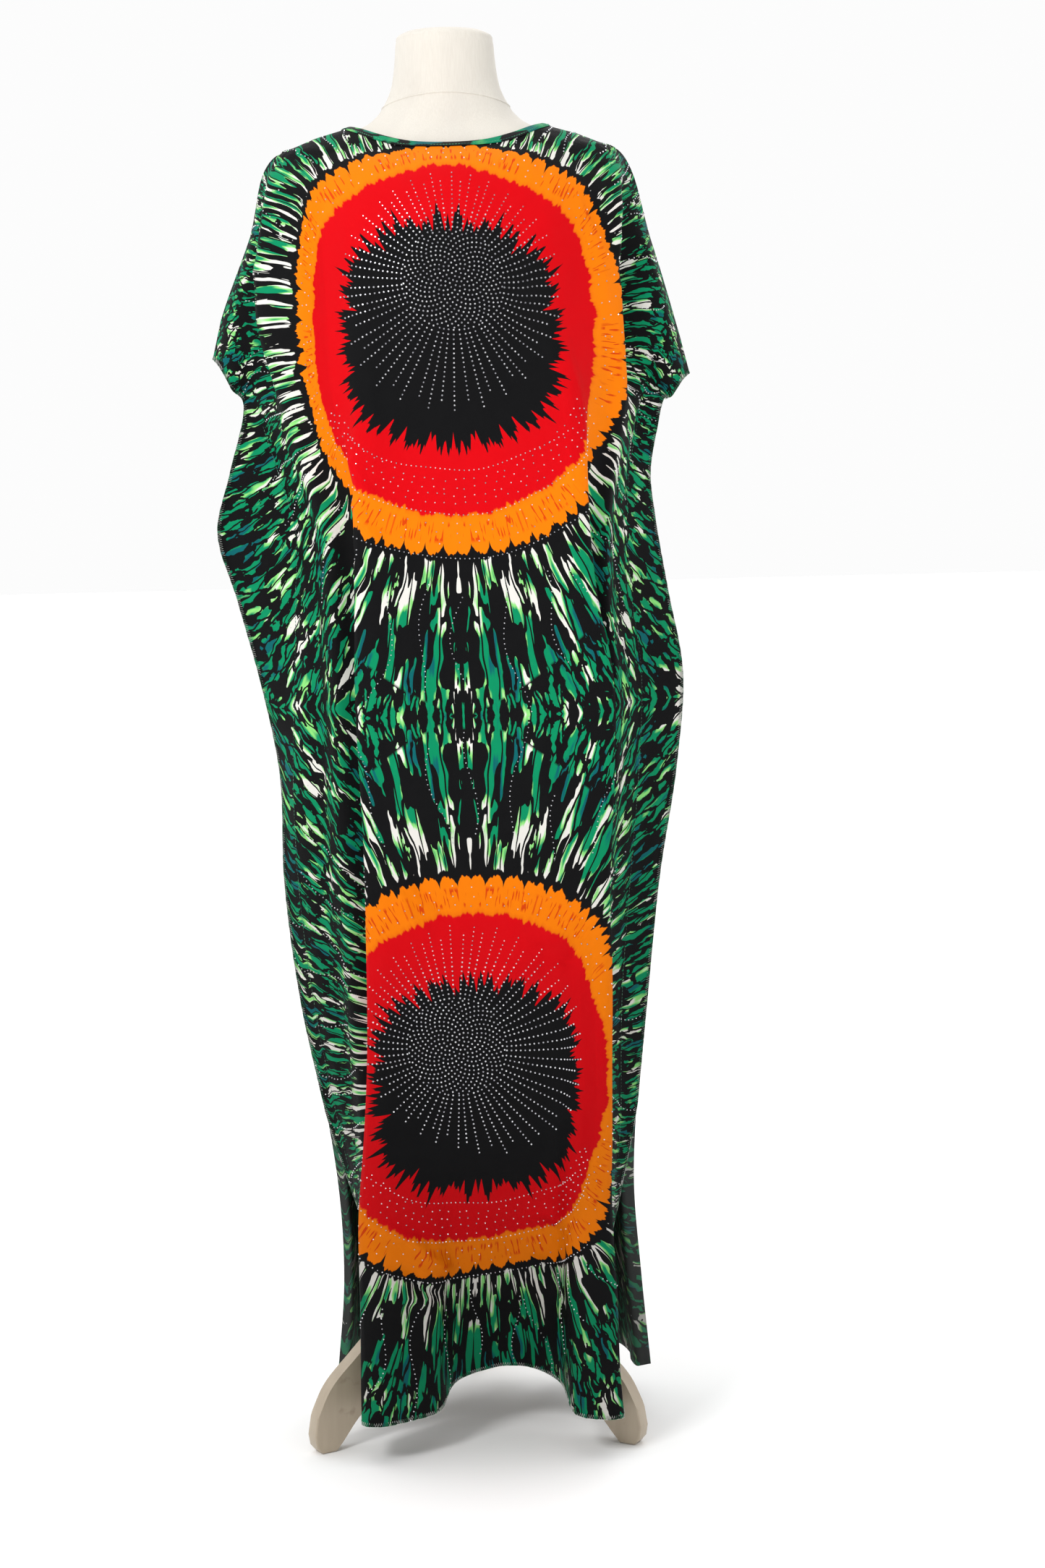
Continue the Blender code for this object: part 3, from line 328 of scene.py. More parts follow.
# Streaks: scale per radian and per metre, shift of their noise, and where it and the gaps between them start
NEAR_STREAKS = (34.0, 11.5, 0.0, 0.502, 0.075)
FAR_STREAKS = (57.0, 30.0, 7.3, 0.502, 0.085)
THREAD_PITCH = 0.0006  # of the weave

# Creases, from one place of the cloth to another: U, V, U, V, half width and height, below 0 for a trough
FRONT_CREASES = (
    (-0.125, 0.335, -0.085, 0.405, 0.0061, 0.0066),
    (-0.140, 0.350, -0.105, 0.420, 0.0054, -0.0055),
    (-0.118, 0.395, -0.082, 0.450, 0.0054, 0.0055),
    (-0.108, 0.455, -0.088, 0.500, 0.0061, -0.0049),
    (0.020, 0.905, 0.120, 0.855, 0.0069, 0.0060),
    (0.045, 0.925, 0.128, 0.882, 0.0069, -0.0055),
    (-0.095, 0.800, -0.045, 0.870, 0.0061, 0.0060),
    (-0.070, 0.800, -0.030, 0.850, 0.0054, -0.0049),
    (-0.112, 1.180, -0.030, 1.250, 0.0082, 0.0091),
    (-0.115, 1.230, -0.045, 1.275, 0.0075, -0.0080),
    (-0.120, 1.265, -0.060, 1.270, 0.0069, 0.0071),
    (0.050, 1.190, 0.122, 1.180, 0.0075, 0.0055),
    (0.062, 1.240, 0.118, 1.300, 0.0082, -0.0060),
    (-0.050, 0.560, -0.038, 0.760, 0.0140, 0.0016),
    (0.048, 0.520, 0.060, 0.740, 0.0150, -0.0018),
    (0.085, 0.560, 0.080, 0.800, 0.0100, 0.0018),
    (-0.085, 0.600, -0.090, 0.860, 0.0110, -0.0016),
    (0.010, 0.600, 0.004, 0.820, 0.0120, 0.0010),
    (-0.020, 1.270, -0.030, 1.400, 0.0100, 0.0022),
    (0.030, 1.290, 0.036, 1.400, 0.0110, -0.0022),
    (-0.155, 0.060, -0.230, 0.200, 0.0090, 0.0022),
    (-0.150, 0.090, -0.200, 0.260, 0.0080, -0.0031),
    (-0.190, 0.070, -0.280, 0.190, 0.0090, -0.0020),
    (-0.230, 0.120, -0.330, 0.200, 0.0080, 0.0028),
    (0.150, 0.060, 0.215, 0.230, 0.0090, 0.0022),
    (0.165, 0.080, 0.250, 0.200, 0.0080, -0.0028),
    (0.200, 0.070, 0.300, 0.180, 0.0090, 0.0020),
    (0.235, 0.130, 0.330, 0.210, 0.0080, -0.0028),
    (-0.250, 0.340, -0.320, 0.420, 0.0070, 0.0025),
    (0.240, 0.340, 0.300, 0.430, 0.0070, 0.0025),
    (-0.290, 0.480, -0.330, 0.640, 0.0080, -0.0025),
    (0.290, 0.520, 0.320, 0.700, 0.0080, 0.0028),
    (-0.270, 0.760, -0.310, 0.980, 0.0080, 0.0025),
    (0.280, 0.780, 0.300, 0.980, 0.0080, -0.0025),
)
BACK_CREASES = (
    (-0.180, 0.030, 0.020, 0.110, 0.0080, 0.0034),
    (0.190, 0.035, -0.010, 0.140, 0.0080, -0.0028),
    (-0.060, 0.300, 0.050, 0.330, 0.0070, 0.0028),
    (-0.100, 0.330, -0.020, 0.352, 0.0082, -0.0060),
    (0.030, 0.345, 0.110, 0.325, 0.0082, 0.0055),
    (-0.170, 0.080, -0.220, 0.260, 0.0090, -0.0022),
    (0.170, 0.080, 0.230, 0.260, 0.0090, 0.0022),
    (-0.210, 0.060, -0.300, 0.190, 0.0080, 0.0028),
    (0.215, 0.060, 0.310, 0.180, 0.0080, -0.0028),
    (-0.140, 0.520, -0.120, 0.760, 0.0110, 0.0024),
    (0.120, 0.480, 0.150, 0.740, 0.0120, -0.0024),
    (0.040, 0.620, 0.030, 0.900, 0.0110, 0.0020),
    (-0.060, 0.700, -0.070, 0.980, 0.0100, -0.0020),
    (-0.200, 0.840, -0.190, 1.080, 0.0090, 0.0020),
    (0.200, 0.900, 0.180, 1.160, 0.0090, 0.0020),
    (-0.100, 1.120, 0.000, 1.190, 0.0070, 0.0031),
    (0.060, 1.240, 0.110, 1.340, 0.0080, -0.0031),
    (-0.160, 1.200, -0.130, 1.360, 0.0090, 0.0022),
)
CREASE_WINDING = (0.35, 9, 40)  # share of its half width, how fast along it, and shift with its start
CREASE_ENDS = 0.7  # power of its height's fall to both ends
# Two soft waves over the cloth: height, turns per metre, and how far, how fast and from what phase they bend
SWAY = ((0.0012, 4.1, 0.4, 9.0, 0), (0.0009, 7.3, 0.3, 5.0, 1))

# Stones
STONE_RADIUS = 0.00108
STONE_RINGS = ((1, -0.0002), (1, 0.0003), (0.62, 0.0009))  # share of the radius, and height
SMALL_STONE, SMALL_STONE_FROM = 0.78, 0.137  # share of that radius, and from how far from a sun's centre
STONE_STEP = 0.0049  # along a row
STONE_CENTRES = ((0.004, 0.174), (-0.024, 0.989))
STONE_SPIRAL = 380  # stones of the dense middle
SPIRAL_RADIUS, SPIRAL_TURN = 0.05184, 2.39996  # turn from one of them to the next
STONE_SPIN = 1.7  # of each stone on its seat, against the one before it
STONE_RAYS = 64
RAY_START = 0.054
RAY_REACH = (0.079, 0.177)  # from the sun's centre to where they end, straight down and straight up
RAY_POWER = 0.8  # how soon they reach so far, going up
RAY_BEND, SHORT_RAY = 0.9, 0.010  # how rays bend, and by how much each second one is shorter
ARC_ROWS = ((0.139, 0.022, 50), (0.186, 0.004, 58), (0.232, 0.0, 40))  # radius, its growth, half angle in degrees
ARC_WAVE = (0.0015, 9)  # height, and turns per radian
SCATTER_ROWS = (  # radius and step of the scattered rings
    (0.150, 0.011), (0.158, 0.011), (0.166, 0.010), (0.175, 0.011), (0.196, 0.017), (0.206, 0.019), (0.217, 0.021)
)
SCATTER_ALL_FROM, SCATTER_COSINE = 0.18, 0.45  # smaller rings have only their lower part, up to that cosine
DRIP_ROWS = 44
DRIP_SPANS = ((0.243, 0.285), (0.06, 0.15), (0.004, 0.012), (0, 6))  # radius at the start, length, bend, phase
DRIP_STEP, DRIP_RATE = 1.1, 45  # share of STONE_STEP, and how fast they bend
RAY_JITTER, RING_JITTER, DRIP_JITTER = 0.15, 0.2, 0.3  # shares of a step round the sun
SCATTER_JITTER = 0.002  # of the radius
OFF_CLOTH = 0.001  # a stone further than that from the print's places is left out

# Sewing
NECK_BAND = 0.009  # width of the bound neck edge
BAND_STEP = 0.0005  # of the walk down the panels that finds the edge's lines
BAND_LINES = 9  # across its width
BAND_UNDER, BAND_OVER, BAND_CROWN = 0.0005, 0.0003, 0.0008  # of the edge: below, above, and its rounding
BAND_POWER, BAND_RIM = 0.45, 0.02  # of that rounding, and the share of the width where it starts
BAND_SMOOTHINGS = 2
STITCHED_LINE = 6  # of the band's lines
# Half a stitch, its thread's radius, and how high its ends and its middle lie
NECK_STITCH = {"half": 0.0011, "radius": 0.00028, "ends": -0.00018, "middle": 0.00021}
SEAM_STITCH = {"half": 0.0013, "radius": 0.00035, "ends": -0.00021, "middle": 0.000315}
# The overlock: its width and pitch, its thread's radius, and how far outside the edge it lies. Then, in radii,
# how high its zigzag and the thread along the edge lie, and that thread's own radius
EDGE_WIDTH, EDGE_PITCH, EDGE_THREAD, EDGE_OUT = 0.0042, 0.0026, 0.00030, 0.0002
ZIGZAG_LIFT, RIM_LIFT, RIM_THREAD = 0.6, 0.5, 0.8
EDGE_COLUMNS = 6 * FINE_DOWN  # of the mesh, from the edge to beyond EDGE_WIDTH

# The form's cover
COVER_SIDES = 96
COVER_RINGS = 5  # between the table's rings
COVER_SEAM = {"front": 1.4800, "back": 1.4760, "side": 1.4695}  # heights
COVER_SEAM_POWER = 1.5  # of its way from the side's height to the others
COVER_SEAM_SIDES, COVER_SEAM_RADIUS, COVER_SEAM_SUNK = 144, 0.0013, 0.0004

# The cut sizes
FRONT_CUT, BACK_CUT = (0.98, 1.44), (0.96, 1.44)

# Camera: turned to the right, down and about its own axis, in degrees
CAMERA_DISTANCE, CAMERA_HEIGHT = 3.1, 1.05
CAMERA_YAW, CAMERA_PITCH, CAMERA_ROLL = 1.24, 5.945, -1.28
CAMERA_LENS = 64.0
# Area lights: place, height of the aim, size and watts
LIGHTS = {
    "key": ((-1.7, -2.6, 2.9), 1.2, 0.9, 57), "fill": ((1.9, -2.8, 1.7), 1.0, 2.2, 7),
    "behind": ((1.2, 2.9, 2.6), 1.0, 1.8, 20),
}
SUN_STRENGTH, SUN_ANGLE = 1.05, 1.2  # angle in radians
SKY = 0.975
# In front and high up the sky is dimmer, so that the cloth isn't washed out: from, to, and the values there,
# by the number of the node's socket
SKY_HIGH = {1: 0.34, 2: 0.55, 3: 0.0, 4: -0.84}
SKY_FRONT = {1: 0.15, 2: -0.45, 3: 0.0, 4: 1.0}
FLOOR_HALF, FLOOR_HEIGHT = 30.0, -0.0005

# Colours
BLACK = (0.0050, 0.0050, 0.0056)
WHITE = (0.80, 0.78, 0.73)
PALE_GREEN = (0.27, 0.73, 0.20)
GREEN = (0.002, 0.27, 0.115)
TEAL = (0.003, 0.125, 0.135)
RED, DEEP_RED = (0.72, 0.0003, 0.0045), (0.42, 0.001, 0.004)
ORANGE, DEEP_ORANGE = (0.94, 0.212, 0.0006), (0.66, 0.030, 0.002)
LINT, REVERSE = (0.20, 0.20, 0.20), (0.070, 0.078, 0.074)  # wear, and the cloth's wrong side
JERSEY = ((0.670, 0.628, 0.558), (0.765, 0.728, 0.660))
JERSEY_WASH, JERSEY_STAIN = (0.60, 0.565, 0.52), (0.52, 0.46, 0.39)
PAINT, SCUFF = ((0.355, 0.290, 0.212), (0.430, 0.356, 0.265)), (0.24, 0.18, 0.125)
STONE_DARK, STONE_LIGHT = (0.42, 0.42, 0.46), (0.90, 0.90, 0.93)
FLOOR = ((0.970, 0.970, 0.970), (0.995, 0.995, 0.995))
THREADS = {  # two colours, and the scale at which they change
    "edge_thread": ((0.62, 0.64, 0.60), (0.05, 0.16, 0.09), 120.0),
    "seam_thread": ((0.10, 0.24, 0.16), (0.02, 0.05, 0.04), 90.0),
    "neck_thread": ((0.10, 0.42, 0.22), (0.03, 0.14, 0.10), 90.0),
}


def cut(knots, counts):
    """The knots with equal steps between them, so many from each to the next."""
    counts = np.broadcast_to(counts, len(knots) - 1)
    parts = [np.linspace(a, b, n, endpoint=False) for a, b, n in zip(knots[:-1], knots[1:], counts)]
    return np.append(np.concatenate(parts), knots[-1])


# The cloth's length from the shoulder line down to each row of the net, and to each row of the mesh
KNOTS = np.concatenate([TOP_TO_SLEEVE_FOOT * np.array(YOKE_SHARES), TOP_TO_SLEEVE_FOOT + SLEEVE_FOOT - HEIGHTS])
MESH_ROWS = cut(KNOTS, np.array(ROW_CELLS) * FINE_DOWN)


def hermite(s, start, leave, end, arrive):
    """The cubic from start to end with those slopes."""
    return (
        (2 * s**3 - 3 * s**2 + 1) * start
        + (s**3 - 2 * s**2 + s) * leave
        + (3 * s**2 - 2 * s**3) * end
        + (s**3 - s**2) * arrive
    )


def down_spline(knots, points, where):
    """A curve through points[k] at knots[k], with the slope there taken from both neighbours."""
    gaps = np.diff(knots)[:, None, None]
    runs = np.diff(points, axis=0) / gaps
    slopes = np.empty_like(points)
    slopes[0], slopes[-1] = runs[0], runs[-1]
    slopes[1:-1] = (runs[:-1] * gaps[1:] + runs[1:] * gaps[:-1]) / (gaps[1:] + gaps[:-1])
    k = np.clip(np.searchsorted(knots, where, side="right") - 1, 0, len(knots) - 2)
    step = gaps[k]
    s = (where - knots[k])[:, None, None] / step
    return hermite(s, points[k], step * slopes[k], points[k + 1], step * slopes[k + 1])


def across_spline(points, cells):
    """Each row's curve through its lines' points, cut into the given cells between lines.

    The first and the last stretch, which lie on the other panel's, are straight.
    """
    steps = np.sqrt(np.maximum(np.linalg.norm(np.diff(points, axis=1), axis=2), 1e-6))[:, :, None]
    runs = np.diff(points, axis=1) / steps
    slopes = np.empty_like(points)
    slopes[:, 0], slopes[:, -1] = runs[:, 0], runs[:, -1]
    both = (points[:, 2:] - points[:, :-2]) / (steps[:, 1:] + steps[:, :-1])
    slopes[:, 1:-1] = runs[:, :-1] - both + runs[:, 1:]
    out = [points[:, :1]]
    for i, count in enumerate(cells):
        s = (np.arange(1, count + 1) / count)[None, :, None]
        a, b, step = points[:, i : i + 1], points[:, i + 1 : i + 2], steps[:, i : i + 1]
        if i in (0, len(cells) - 1):
            out.append(a + s * (b - a))
        else:
            out.append(hermite(s, a, slopes[:, i : i + 1] * step, b, slopes[:, i + 1 : i + 2] * step))
    return np.concatenate(out, axis=1)


def at_heights(table, name):
    """A column of a table at the heights of the sections."""
    return np.interp(-HEIGHTS, -table["z"], table[name])


def yoke_rows(top, low, front):
    """A line's three rows above the sleeves' foot: at the shoulder line, high and low on the chest."""
    top, low = np.array(top, float), np.array(low, float)
    high = top + np.array(HIGH_SHARES) * (low - top)
    facing = np.array([1.0, -1.0 if front else 1.0, 1.0])
    return [top * facing, high * facing, low * facing]


def neck_point(degrees, neck):
    """A point of the neckline's oval, 0 degrees being its left corner and 90 the middle."""
    corner_x, corner_z = NECK_CORNER
    depth, height = neck
    sine = np.sin(np.radians(degrees))
    x = -corner_x * np.cos(np.radians(degrees))
    return (x, depth * sine, corner_z + (height - corner_z) * sine**NECK_DROP)


def shoulder_tops(side):
    """The upper ends of all lines on the shoulder line."""
    ends = {name: (row["top_x"], row["top_z"]) for name, row in SLEEVE[side].items()}
    return {name: (side * x, 0.0, z) for name, (x, z) in {**ends, **SHOULDER}.items()}


def seamed_lines(side, moves):
    """The free edge and the seam, on which both panels lie, from the shoulder line to the hem."""
    table = SIDE[side]
    opening = np.clip((SLIT_TOP - HEIGHTS) / (SLIT_TOP - HEM_HEIGHT), 0, 1) ** SLIT_POWER
    lines = {}
    for name, (move_x, move_y) in moves[side].items():
        x = side * table[name] + opening * move_x
        lines[name] = np.column_stack([x, table[name + "_y"] + opening * move_y, HEIGHTS])
    return lines


def front_side_lines(side):
    """The front panel's lines from one free edge to the cloth just before the fold, top to hem."""
    table = SIDE[side]
    tuck_in, tuck_back = table["tuck_in"], table["tuck_back"]
    puff, ripple = at_heights(WAVES, "puff"), at_heights(WAVES, "ripple")

    def line(inward, back):
        return np.column_stack([side * (table["fold"] - inward), back - at_heights(FACE, "face"), HEIGHTS])

    lines = seamed_lines(side, FRONT_SLIT)
    lines["before"] = line(LIP_WIDTH, 0)
    lines["fold"] = line(0, LIP_TURN)
    lines["behind"] = line(BEHIND_IN * tuck_in, BEHIND_TURN + BEHIND_BACK * tuck_back)
    lines["valley"] = line(tuck_in, VALLEY_TURN + tuck_back)
    reach = lines["seam"] - lines["valley"]
    for name, row in SIDE_LINES.items():
        point = lines["valley"] + row["share"] * reach
        point[:, 0] += side * PUFF_OUTWARD * row["puff"] * puff
        point[:, 1] += row["ripple"] * ripple - row["puff"] * puff
        lines[name] = point
    tops = shoulder_tops(side)
    lows = {name: (side * x, y, YOKE_LOW_HEIGHT) for name, (x, y) in YOKE_LOW.items()}
    for name, row in SLEEVE[side].items():
        lows[name] = (side * row["low_x"], row["low_y"], row["low_z"])
    return [yoke_rows(tops[name], lows[name], True) + list(lines[name]) for name in FRONT_SIDE_ORDER]


def front_net():
    """The front panel's net: rows from the shoulder line to the hem, lines from left to right."""
    cleft = at_heights(FACE, "cleft")
    drawn = (cleft / cleft.max()) ** CLEFT_POWER
    raised = np.clip((HEM_RAISE_FROM - HEIGHTS) / (HEM_RAISE_FROM - HEM_HEIGHT), 0, 1)
    chest = np.linspace(-CHEST_HALF, CHEST_HALF, len(CLEFT_LINES))
    lines = []
    for degrees, place, (above, hem, share, lean, lift) in zip(FRONT_NECK_DEGREES, chest, CLEFT_LINES):
        low = (place, CHEST - CHEST_ROUND * place**2, YOKE_LOW_HEIGHT)
        x = above + (hem - above) * drawn
        y = share * cleft - at_heights(FACE, "face") + lean * drawn
        rows = np.column_stack([x, y, HEIGHTS + lift * raised])
        lines.append(yoke_rows(neck_point(degrees, FRONT_NECK), low, True) + list(rows))
    return np.array(front_side_lines(-1) + lines + front_side_lines(1)[::-1]).transpose(1, 0, 2)


def back_side_lines(side):
    """The back panel's lines from one free edge to near the neck."""
    lines = seamed_lines(side, BACK_SLIT)
    seam_x, seam_y = lines["seam"][:, 0], lines["seam"][:, 1]
    for name, row in BACK_LINES[side].items():
        y = seam_y + row["depth"] * (at_heights(BACK, "depth") - seam_y) + row["pleat"] * at_heights(BACK, "pleat")
        lines[name] = np.column_stack([row["across"] * seam_x, y, HEIGHTS])
    ends = shoulder_tops(side)
    places = {name: (name, row["low_x"], row["low_y"], row["low_z"]) for name, row in SLEEVE[side].items()}
    places.update(BACK_YOKE)
    made = []
    for name in BACK_SIDE_ORDER:
        top, x, y, z = places[name]
        made.append(yoke_rows(ends[top], (side * x, y, z), False) + list(lines[name]))
    return made


def back_net():
    """The back panel's net."""
    across, wave, middle_wave = BACK_INNER
    low_x, low_y = BACK_INNER_LOW
    lines = []
    for place, degrees in zip((-1, 0, 1), BACK_NECK_DEGREES):
        y = at_heights(BACK, "depth") + (wave if place else middle_wave) * at_heights(BACK, "pleat")
        rows = np.column_stack([np.full(len(HEIGHTS), place * across), y, HEIGHTS])
        low = (place * low_x, low_y, YOKE_LOW_HEIGHT)
        lines.append(yoke_rows(neck_point(degrees, BACK_NECK), low, False) + list(rows))
    return np.array(back_side_lines(-1) + lines + back_side_lines(1)[::-1]).transpose(1, 0, 2)


def panel(net, side_cells, middle_cells):
    """The surface on which a panel lies, as a grid of points.

    Both panels share the free edge and the seam between the sleeve's foot and the slit's top, so
    those lines' curves are made stretch by stretch, and are the same there in both panels.
    """
    rows = down_spline(KNOTS, net, MESH_ROWS)
    low, high = YOKE_ROWS, YOKE_ROWS + np.count_nonzero(HEIGHTS > SLIT_TOP)
    between = (MESH_ROWS >= KNOTS[low] - 1e-9) & (MESH_ROWS <= KNOTS[high - 1] + 1e-9)
    for line in (0, 1, -2, -1):
        stretch = net[low:high, line : line + 1 or None]
        rows[between, line] = down_spline(KNOTS[low:high], stretch, MESH_ROWS[between])[:, 0]
    return across_spline(rows, [n * FINE_ACROSS for n in side_cells + middle_cells + side_cells[::-1]])


def lay_over_leg(sheet):
    """Moves the middle of the back panel's hem back and up, on to the rear leg."""
    low = np.clip((OVER_LEG_FROM - sheet[:, :, 2]) / (OVER_LEG_FROM - HEM_HEIGHT), 0, 1)
    near = np.exp(-((sheet[:, :, 0] / OVER_LEG_WIDTH) ** 2))
    sheet[:, :, 1] += OVER_LEG_BACK * near * low**OVER_LEG_POWER
    sheet[:, :, 2] += OVER_LEG_UP * near * low
    return sheet


def unit(vectors):
    return vectors / np.maximum(np.linalg.norm(vectors, axis=-1, keepdims=True), 1e-12)


def normals(sheet, outward, mitred=False):
    """The normal at each point of a grid; outward is 1 or -1.

    A mitred one is lengthened at a fold, so that a wall made with it keeps its thickness there.
    Without mitres the flange beyond each seam has its own, the same in both panels.
    """
    along = unit(np.diff(sheet, axis=1))
    along = np.concatenate([along[:, :1], along[:, :-1] + along[:, 1:], along[:, -1:]], axis=1)
    along[:, [0, -1]] *= 2
    if not mitred:
        along[:, 1], along[:, -2] = along[:, 0], along[:, -1]
    facing = unit(outward * np.cross(along, np.gradient(sheet, axis=0)))
    half = np.linalg.norm(along, axis=2, keepdims=True) / 2
    return facing / np.maximum(half, MITRE_LIMIT) if mitred else facing


def numbered(grid):
    """The numbers of a grid's points."""
    return np.arange(grid.shape[0] * grid.shape[1]).reshape(grid.shape[:2])


def cells(index):
    """The four corners of each cell of a grid of point numbers, in turn."""
    return [part.ravel() for part in (index[:-1, :-1], index[:-1, 1:], index[1:, 1:], index[1:, :-1])]


def triangles(index, mirrored=False):
    """Two triangles for each cell, those of a mirrored grid with the same diagonals as in one that isn't."""
    a, b, c, d = cells(index)
    halves = ((a, b, d), (b, c, d)) if mirrored else ((a, b, c), (a, c, d))
    return np.concatenate([np.column_stack(half) for half in halves])


def ring_quads(index):
    """The quads between the rings of points whose numbers run round along the last axis."""
    low, high = index[..., :-1, :], index[..., 1:, :]
    quads = [low, np.roll(low, -1, axis=-1), np.roll(high, -1, axis=-1), high]
    return np.stack(quads, axis=-1).reshape(-1, 4)


def wall_mesh(inner, outer, mirrored):
    """Points and triangles of the closed wall between two grids, both cut along the same diagonals."""
    index = numbered(inner)
    inside = triangles(index, mirrored)
    rim = np.concatenate([index[0, :-1], index[:-1, -1], index[-1, :0:-1], index[:0:-1, 0]])
    after, size = np.roll(rim, -1), index.size
    edge = [np.column_stack([after, rim, rim + size]), np.column_stack([after, rim + size, after + size])]
    points = np.concatenate([inner.reshape(-1, 3), outer.reshape(-1, 3)])
    return points, np.concatenate([inside, inside[:, ::-1] + size, *edge])


def grid_tree(sheet):
    """A search tree of a grid's triangles."""
    return BVHTree.FromPolygons([Vector(p) for p in sheet.reshape(-1, 3)], triangles(numbered(sheet)).tolist())


def height_over(trees, x, y):
    """How high the panels' outside lies at a place, or None where there is no cloth."""
    hits = [tree.ray_cast(Vector((x, y, ABOVE_ALL)), Vector((0, 0, -1)))[0] for tree in trees]
    return max((hit[2] for hit in hits if hit is not None), default=None)


def gone_along(points, axis=0):
    """The way gone to each point of a line, or of each line of a grid."""
    steps = np.linalg.norm(np.diff(points, axis=axis), axis=-1)
    return np.cumsum(np.insert(steps, 0, 0.0, axis=axis), axis=axis)


def points_at(where, gone, line):
    """The points of a line at given ways along it."""
    return np.stack([np.interp(where, gone, np.array(line)[:, k]) for k in range(3)], axis=-1)


def leg_outline():
    """The leg's outline in its own plane, counter-clockwise from the hub's top."""
    def smooth(rows):
        rows = np.array(rows)
        knots = gone_along(rows)
        return down_spline(knots, rows[:, None, :], cut(knots, LEG_CURVE_STEPS))[:, 0]

    return np.concatenate([smooth(LEG_TOP_EDGE), LEG_FOOT, smooth(LEG_UNDER_EDGE)])[::-1]


def node_tree(name):
    """A search tree of a CAD node."""
    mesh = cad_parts[name].data
    return BVHTree.FromPolygons([v.co.copy() for v in mesh.vertices], [tuple(p.vertices) for p in mesh.polygons])


def clear_of(tree, sheet, gap):
    """Moves the points that lie too near a solid, or inside it, out to the least distance."""
    for point in sheet.reshape(-1, 3):
        near, normal, _, distance = tree.find_nearest(Vector(point))
        if (Vector(point) - near).dot(normal) < gap and distance < NEAR_FORM:
            point[:] = near + normal * gap
    return sheet


def gathered(u, v):
    """How far the print runs ahead of the cloth there."""
    levels = GATHER[:, 0]
    ahead = np.array([np.interp(u, GATHER_AT, row[1:]) for row in GATHER])
    below = np.clip(np.searchsorted(levels, v) - 1, 0, len(levels) - 2)
    share = np.clip((v - levels[below]) / (levels[below + 1] - levels[below]), 0, 1)
    share = share**2 * (3 - 2 * share)
    low, high = (np.take_along_axis(ahead, (below + k)[None], 0)[0] for k in (0, 1))
    return low + (high - low) * share


def cloth_places(sheet, side, mirror, front):
    """U and V of each point: cloth from the mirror line, and cloth down from the shoulder."""
    across, down = gone_along(sheet, 1), gone_along(sheet)
    v = TOP_TO_SLEEVE_FOOT + down - down[TOP_ROW]
    middle = slice(side, sheet.shape[1] - side)
    line = np.interp(v[:, sheet.shape[1] // 2], *zip(*mirror))
    zero = [np.interp(x, row[middle, 0], far[middle]) for x, row, far in zip(line, sheet, across)]
    u = across - np.array(zero)[:, None]
    return np.stack([u + gathered(u, v) if front else u, v], axis=2)


def crease_height(places, rows):
    """How far the creases move each point out."""
    height = np.zeros(places.shape[:2])
    u, v = places[:, :, 0], places[:, :, 1]
    winding, rate, shift = CREASE_WINDING
    for from_u, from_v, to_u, to_v, width, tall in rows:
        run_u, run_v = to_u - from_u, to_v - from_v
        length = np.hypot(run_u, run_v)
        along = ((u - from_u) * run_u + (v - from_v) * run_v) / length**2
        beside = ((u - from_u) * run_v - (v - from_v) * run_u) / length
        beside = beside + winding * width * np.sin(rate * along + shift * from_u)
        height += tall * np.exp(-((beside / width) ** 2)) * np.clip(4 * along * (1 - along), 0, 1) ** CREASE_ENDS
    for tall, turns, bend, rate, phase in SWAY:
        height += tall * np.sin(2 * np.pi * (turns * u + bend * np.sin(rate * v + phase)))
    return height


def crease_room(cols, side_cells):
    """0 on the flanges beyond the seams and at the shoulder line, 1 on the open cloth."""
    first, second = sum(side_cells[:2]), sum(side_cells[:3])
    place = np.minimum(np.arange(cols), np.arange(cols)[::-1]) / FINE_ACROSS
    across = np.clip((place - first) / (second - first), 0, 1)
    return np.clip(MESH_ROWS / SHOULDER_EASE, 0, 1)[:, None] * across


def linked(name, data):
    """A new object in the scene."""
    made = bpy.data.objects.new(name, data)
    bpy.context.scene.collection.objects.link(made)
    return made


def add_piece(name, points, faces, materials, places=None, sharp=None):
    """A named mesh object with its materials, and its print places as a UV map if it has them."""
    mesh = bpy.data.meshes.new(name)
    mesh.from_pydata(np.asarray(points).tolist(), [], [tuple(int(i) for i in f) for f in faces])
    if places is not None:
        layer = mesh.uv_layers.new(name="Print")
        corners = np.empty(len(mesh.loops), dtype=np.int32)
        mesh.loops.foreach_get("vertex_index", corners)
        layer.data.foreach_set("uv", places[corners].astype(np.float32).ravel())
    mesh.shade_smooth()
    if sharp:
        mesh.set_sharp_from_angle(angle=np.radians(sharp))
    for material in materials.split():
        mesh.materials.append(MATERIAL[material])
    return linked(name, mesh)


